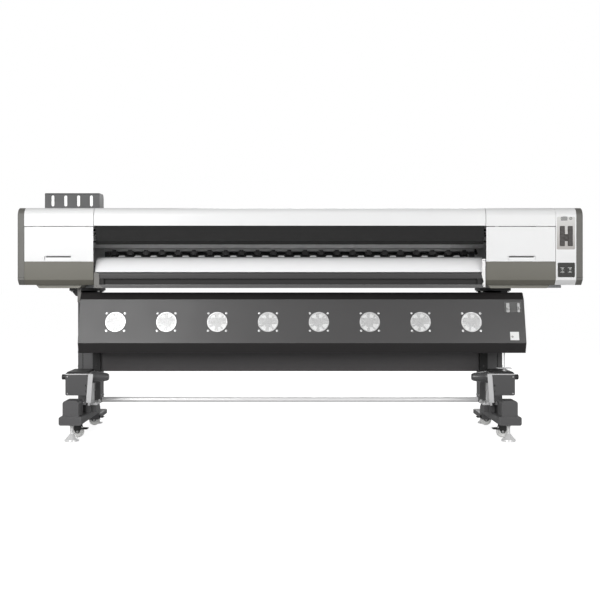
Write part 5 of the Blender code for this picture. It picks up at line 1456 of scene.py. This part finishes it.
# Take-up: a grey motor box on each foot under a dark lid, held by a bent light-grey bracket plate that a
# pale foot flange bolts down. A ribbed cone chuck on each motor's shaft holds the core.
box_grey = coated("takeup_box_powder_coat", (0.078, 0.077, 0.079), (0.065, 0.064, 0.066), 0.46, cells=700,
                  relief=0.0001, worn=(0.30, 0.30, 0.30), wear=0.35, dust=0.08)
lid_dark = coated("takeup_lid_paint", (0.022, 0.021, 0.022), (0.030, 0.029, 0.030), 0.42, cells=900,
                  relief=0.00006,
                  worn=(0.2, 0.2, 0.2), wear=0.35, dust=0.06)
plate_light = coated("bracket_light_grey", (0.60, 0.60, 0.605), (0.54, 0.54, 0.545), 0.40, cells=900,
                     relief=0.00005,
                     worn=(0.75, 0.75, 0.75), wear=0.3, dust=0.04, coat=0.1)
chuck_black = coated("chuck_moulding", (0.060, 0.060, 0.062), (0.090, 0.090, 0.092), 0.22, cells=1000,
                     relief=0.00004,
                     worn=(0.2, 0.2, 0.2), wear=0.4, coat=0.35)
BOX_X, BOX_Y, BOX_Z, PLATE_X = (1.0495, 1.167), (-0.290, -0.090), (0.2235, 0.330), (1.041, 1.049)
TAKEUP_Y, TAKEUP_Z = -0.215, 0.313
for side, sign in SIDES.items():
    box = side_slab(side, BOX_X, BOX_Y, BOX_Z)
    round_along(box, 1, 0.008, 4)
    screws = [
        dome_screw((side_at(side, offset), BOX_Y[0], z), (0, -1, 0), 0.0026)
        for offset, z in ((1.157, 0.2335), (1.157, 0.320))
    ]
    finish_piece(f"{side}_takeup_case", box, box_grey, "main_frame", [f"{side}_takeup_box"],
                 edge=0.0010, segments=3)
    finish_piece(f"{side}_takeup_case_screws", joined(*screws), zinc_plate, "main_frame",
                 edge=0)
    knob = turned_bar([(0, -0.004), (0.010, -0.004), (0.010, 0.001), (0.0135, 0.002), (0.014, 0.004),
                       (0.014, 0.031),
                       (0.0125, 0.0335), (0.006, 0.034), (0, 0.0335)],
                      (side_at(side, BOX_X[1]), TAKEUP_Y, TAKEUP_Z), (sign, 0, 0), 28)
    finish_piece(f"{side}_takeup_knob", knob, lid_dark, "main_frame", edge=0.0004)
    lid = side_slab(side, (BOX_X[0] + 0.002, BOX_X[1] - 0.001), (-0.286, -0.094),
                    (BOX_Z[1] + 0.0062, BOX_Z[1] + 0.0160))
    for vert in lid.verts:
        if vert.co.z > BOX_Z[1] + 0.010:
            vert.co.x += -0.008 if vert.co.x > side_at(side, FOOT_CENTRE) else 0.008
            vert.co.y += 0.006 if vert.co.y < -0.2 else -0.006
    finish_piece(f"{side}_takeup_lid", lid, lid_dark, "main_frame", edge=0.0010, segments=3)

    upright = side_slab(side, PLATE_X, (-0.2915, -0.160), (0.170, BOX_Z[1] + 0.006))
    round_along(upright, 0, 0.004, 3)
    shelf = side_slab(side, (PLATE_X[0], BOX_X[1] + 0.002), (-0.290, -0.160),
                      (BOX_Z[1] + 0.0005, BOX_Z[1] + 0.006))
    base = side_slab(side, (1.010, 1.093), (-0.245, -0.120), (0.168, 0.178))
    round_along(base, 2, 0.006)
    flange = side_slab(side, (PLATE_X[1] - 0.0263, PLATE_X[1] - 0.0013),
                       (BOX_Y[0] - 0.0045, BOX_Y[0] - 0.0006),
                       (0.186, BOX_Z[1] + 0.006))
    for vert in flange.verts:
        if vert.co.z < 0.2:
            vert.co.x += sign * 0.011
    pieces = [upright, shelf, base, flange]
    if side == "right":
        stay_x = side_at(side, 1.125)
        pieces += [
            bar((stay_x, -0.225, BOX_Z[1] + 0.004), (stay_x, -0.225, 0.4431), 0.0028, 16),
            side_slab(side, (1.085, 1.162), (-0.245, -0.205), (0.3590, 0.3625)),
            bar((stay_x, -0.225, 0.3340), (stay_x, -0.225, 0.3600), 0.0085, 20),
        ]
    finish_piece(f"{side}_takeup_plate", joined(*pieces), plate_light, "main_frame",
                 [f"{side}_takeup_bracket"], edge=0.0012, segments=3)
    pedestal = side_slab(side, (1.020, 1.093), (-0.235, -0.130), (FOOT_Z[1] + 0.0005, 0.1685))
    for vert in pedestal.verts:
        if vert.co.z < 0.15:
            vert.co.x += 0.004 * (1 if vert.co.x > side_at(side, 1.0565) else -1)
    rib = side_slab(side, (1.042, 1.066), (-0.258, -0.230), (FOOT_Z[1] + 0.0005, 0.184))
    for vert in rib.verts:
        if vert.co.z < 0.15:
            vert.co.x += 0.003 * (1 if vert.co.x > side_at(side, 1.054) else -1)
    finish_piece(f"{side}_takeup_pedestal", joined(pedestal, rib), box_grey, "main_frame",
                 edge=0.0010)
    bolts = [hex_bolt((side_at(side, x), y, 0.178), (0, 0, 1), 0.013, 0.007) for x in (1.022,
        1.078) for y in (-0.230, -0.135)]
    bolts += [hex_bolt((side_at(side, PLATE_X[0]), y, z), (-sign, 0, 0), 0.009, 0.004)
              for y, z in ((-0.275, 0.320), (-0.175, 0.320), (-0.275, 0.240), (-0.175, 0.240))]
    latch = side_slab(side, (1.0580, 1.0640), (BOX_Y[0] - 0.002, BOX_Y[0] + 0.001), (0.2700, 0.2810))
    notch = side_slab(side, (1.0600, 1.0640), (BOX_Y[0] - 0.002, BOX_Y[0] + 0.001), (0.2420, 0.2500))
    finish_piece(f"{side}_takeup_latches", joined(latch, notch), plug_black_and_gap_shade, "main_frame",
                 edge=0.0005)
    finish_piece(f"{side}_takeup_bolts", joined(*bolts), zinc_plate, "main_frame",
                 edge=0.0003)

    chuck_line = [(0, 0), (0.0095, 0), (0.0095, 0.0085), (0.0300, 0.0085), (0.0320, 0.0105), (0.0320, 0.0170),
                  (0.0305, 0.0190), (0.0298, 0.0210), (0.0285, 0.0300), (0.0190, 0.0860), (0.0165, 0.0915),
                  (0.0130, 0.0940), (0, 0.0940)]
    core = turned_bar(chuck_line, (side_at(side, PLATE_X[1] - 0.001), TAKEUP_Y, TAKEUP_Z), (-sign, 0, 0), 36)
    ribs = []
    for i in range(6):
        rib = slab((0.0140, -0.0016, 0.0220), (0.0312, 0.0016, 0.0840))
        for vert in rib.verts:
            if vert.co.z > 0.05 and vert.co.x > 0.02:
                vert.co.x = 0.0208
        turn = Matrix.Rotation(math.tau * i / 6 + 0.2, 4, "Z")
        aim = Vector((0, 0, 1)).rotation_difference(Vector((-sign, 0, 0))).to_matrix().to_4x4()
        seat = Matrix.Translation((side_at(side, PLATE_X[1] - 0.001), TAKEUP_Y, TAKEUP_Z))
        ribs.append(placed(rib, seat @ aim @ turn))
    finish_piece(f"{side}_cone_chuck", joined(core, *ribs), chuck_black, f"{side}_chuck",
                 [f"{side}_takeup_chuck"], edge=0.0006)

# Casters: swivel forks pressed from black sheet with a foot brake, and pale nylon wheels on through axles.
# They hang just clear of the floor while the machine stands on its screw feet.
fork_black = coated("caster_fork_enamel", (0.014, 0.014, 0.014), (0.020, 0.020, 0.020), 0.34, cells=900,
                    relief=0.00006, worn=(0.25, 0.25, 0.25), wear=0.5, dust=0.08, coat=0.25)
nylon = coated("caster_nylon", (0.90, 0.90, 0.89), (0.82, 0.82, 0.80), 0.32, cells=700, relief=0.00008,
               worn=(0.40, 0.39, 0.37), wear=0.4, dust=0.15)
foot_chrome = coated("levelling_foot_plating", (0.95, 0.95, 0.95), (0.90, 0.90, 0.90), 0.20, cells=900,
                     relief=0.00001,
                     worn=(0.7, 0.7, 0.7), wear=0.1, metallic=0.35, dust=0.02)
CASTER_Y, LEVELLER_Y = {"front": -0.250, "rear": 0.186}, {"front": -0.365, "rear": 0.268}
CASTER_TOP, CASTER_R, CASTER_HALF, TRAIL = {"front": 0.0838, "rear": 0.0738}, 0.031, 0.011, 0.014
AXLE_Z = CASTER_R + 0.001
for side, sign in SIDES.items():
    for end, y in CASTER_Y.items():
        top = CASTER_TOP[end]
        inward = -sign
        swivel = side_at(side, FOOT_CENTRE) - inward * TRAIL / 2
        cheek_line = [
            (-0.027, top - 0.002), (-0.027, top - 0.010), (TRAIL - 0.008, 0.024), (TRAIL + 0.007, 0.024),
            (0.032, 0.0440), (0.066, 0.0440), (0.066, 0.0505), (0.036, 0.0515), (0.031, top - 0.002),
        ]
        cheek_in, cheek_out = CASTER_HALF + 0.0025, CASTER_HALF + 0.0060
        shapes = []
        for s in (-1, 1):
            cheek = bmesh.new()
            flat = cheek.faces.new([cheek.verts.new((swivel + inward * u, y + s * cheek_in, z)) for u,
                                    z in cheek_line])
            grown = bmesh.ops.extrude_face_region(cheek, geom=[flat])["geom"]
            moved = [item for item in grown if isinstance(item, bmesh.types.BMVert)]
            bmesh.ops.translate(cheek, verts=moved, vec=(0, s * (cheek_out - cheek_in), 0))
            bmesh.ops.recalc_face_normals(cheek, faces=cheek.faces)
            round_along(cheek, 1, 0.0035, 3)
            shapes.append(cheek)
        axle_x = swivel + inward * TRAIL
        shapes += [
            turned_bar([(0, -0.012), (0.020, -0.012), (0.0265, -0.009), (0.028, -0.004), (0.028, -0.0012),
                        (0.026, 0),
                        (0, 0)], (swivel, y, top), (0, 0, 1), 32),
            bar((axle_x, y - cheek_out - 0.002, AXLE_Z), (axle_x, y + cheek_out + 0.002, AXLE_Z), 0.0045, 20),
        ]
        tread = sorted((swivel + inward * 0.046, swivel + inward * 0.0665))
        pedal = slab((tread[0], y - cheek_out, 0.0446), (tread[1], y + cheek_out, 0.0502))
        round_along(pedal, 1, 0.002, 3)
        shapes.append(pedal)
        finish_piece(f"{side}_{end}_caster_swivel_fork", joined(*shapes), fork_black, f"{side}_{end}_caster",
                     [f"{side}_{end}_caster_fork"], edge=0.0006)
        nuts = [hex_bolt((axle_x, y + s * (cheek_out + 0.0005), AXLE_Z), (0, s, 0), 0.009,
                         0.004) for s in (-1, 1)]
        finish_piece(f"{side}_{end}_caster_nuts", joined(*nuts), zinc_plate, f"{side}_{end}_caster",
                     edge=0.0002)
        half_ring = [(0.0052, -CASTER_HALF), (0.0110, -CASTER_HALF), (0.0120, -CASTER_HALF + 0.002),
                     (0.0225, -CASTER_HALF + 0.002), (0.0240, -CASTER_HALF), (CASTER_R - 0.004, -CASTER_HALF),
                     (CASTER_R - 0.0012, -CASTER_HALF + 0.0018), (CASTER_R, -CASTER_HALF + 0.005)]
        ring_line = half_ring + [(r, -h) for r, h in reversed(half_ring)]
        wheel = bmesh.new()
        line = [wheel.verts.new((r, 0, h)) for r, h in ring_line]
        runs = [wheel.edges.new(pair) for pair in zip(line, line[1:] + line[:1])]
        bmesh.ops.spin(wheel, geom=line + runs, axis=(0, 0, 1), angle=math.tau, steps=40, use_merge=True)
        bmesh.ops.recalc_face_normals(wheel, faces=wheel.faces)
        placed(wheel, Matrix.Translation((axle_x, y, AXLE_Z)) @ Matrix.Rotation(math.radians(-90), 4, "X"))
        finish_piece(f"{side}_{end}_caster_tyre", wheel, nylon, f"{side}_{end}_wheel",
                     [f"{side}_{end}_caster_wheel"], edge=0)

# Levelling feet: chromed bell bases on threaded stems, each locked by a hexagon nut under the foot.
for side in SIDES:
    for end, y in LEVELLER_Y.items():
        x = side_at(side, FOOT_CENTRE)
        bell = [(0, 0), (0.0350, 0), (0.0360, 0.0012), (0.0360, 0.0060), (0.0345, 0.0085), (0.0300, 0.0130),
                (0.0190, 0.0260), (0.0140, 0.0330), (0.0115, 0.0365), (0.0090, 0.0380)]
        thread = []
        z = 0.0400
        while z < 0.1100:
            thread += [(0.0090, z), (0.0083, z + 0.0009)]
            z += 0.0018
        foot = turned_bar(bell + thread + [(0.0075, 0.1120), (0, 0.1120)], (x, y, 0), (0, 0, 1), 40)
        under = FOOT_Z[0] if end == "front" else REAR_FOOT_Z[0]
        finish_piece(f"{side}_{end}_levelling_screw", foot, foot_chrome, f"{side}_{end}_leveler",
                     [f"{side}_{end}_leveling_foot"], edge=0)
        nut = hex_bolt((x, y, under), (0, 0, -1), 0.024, 0.009)
        finish_piece(f"{side}_{end}_lock_nut", nut, zinc_plate, "main_frame", edge=0.0005)
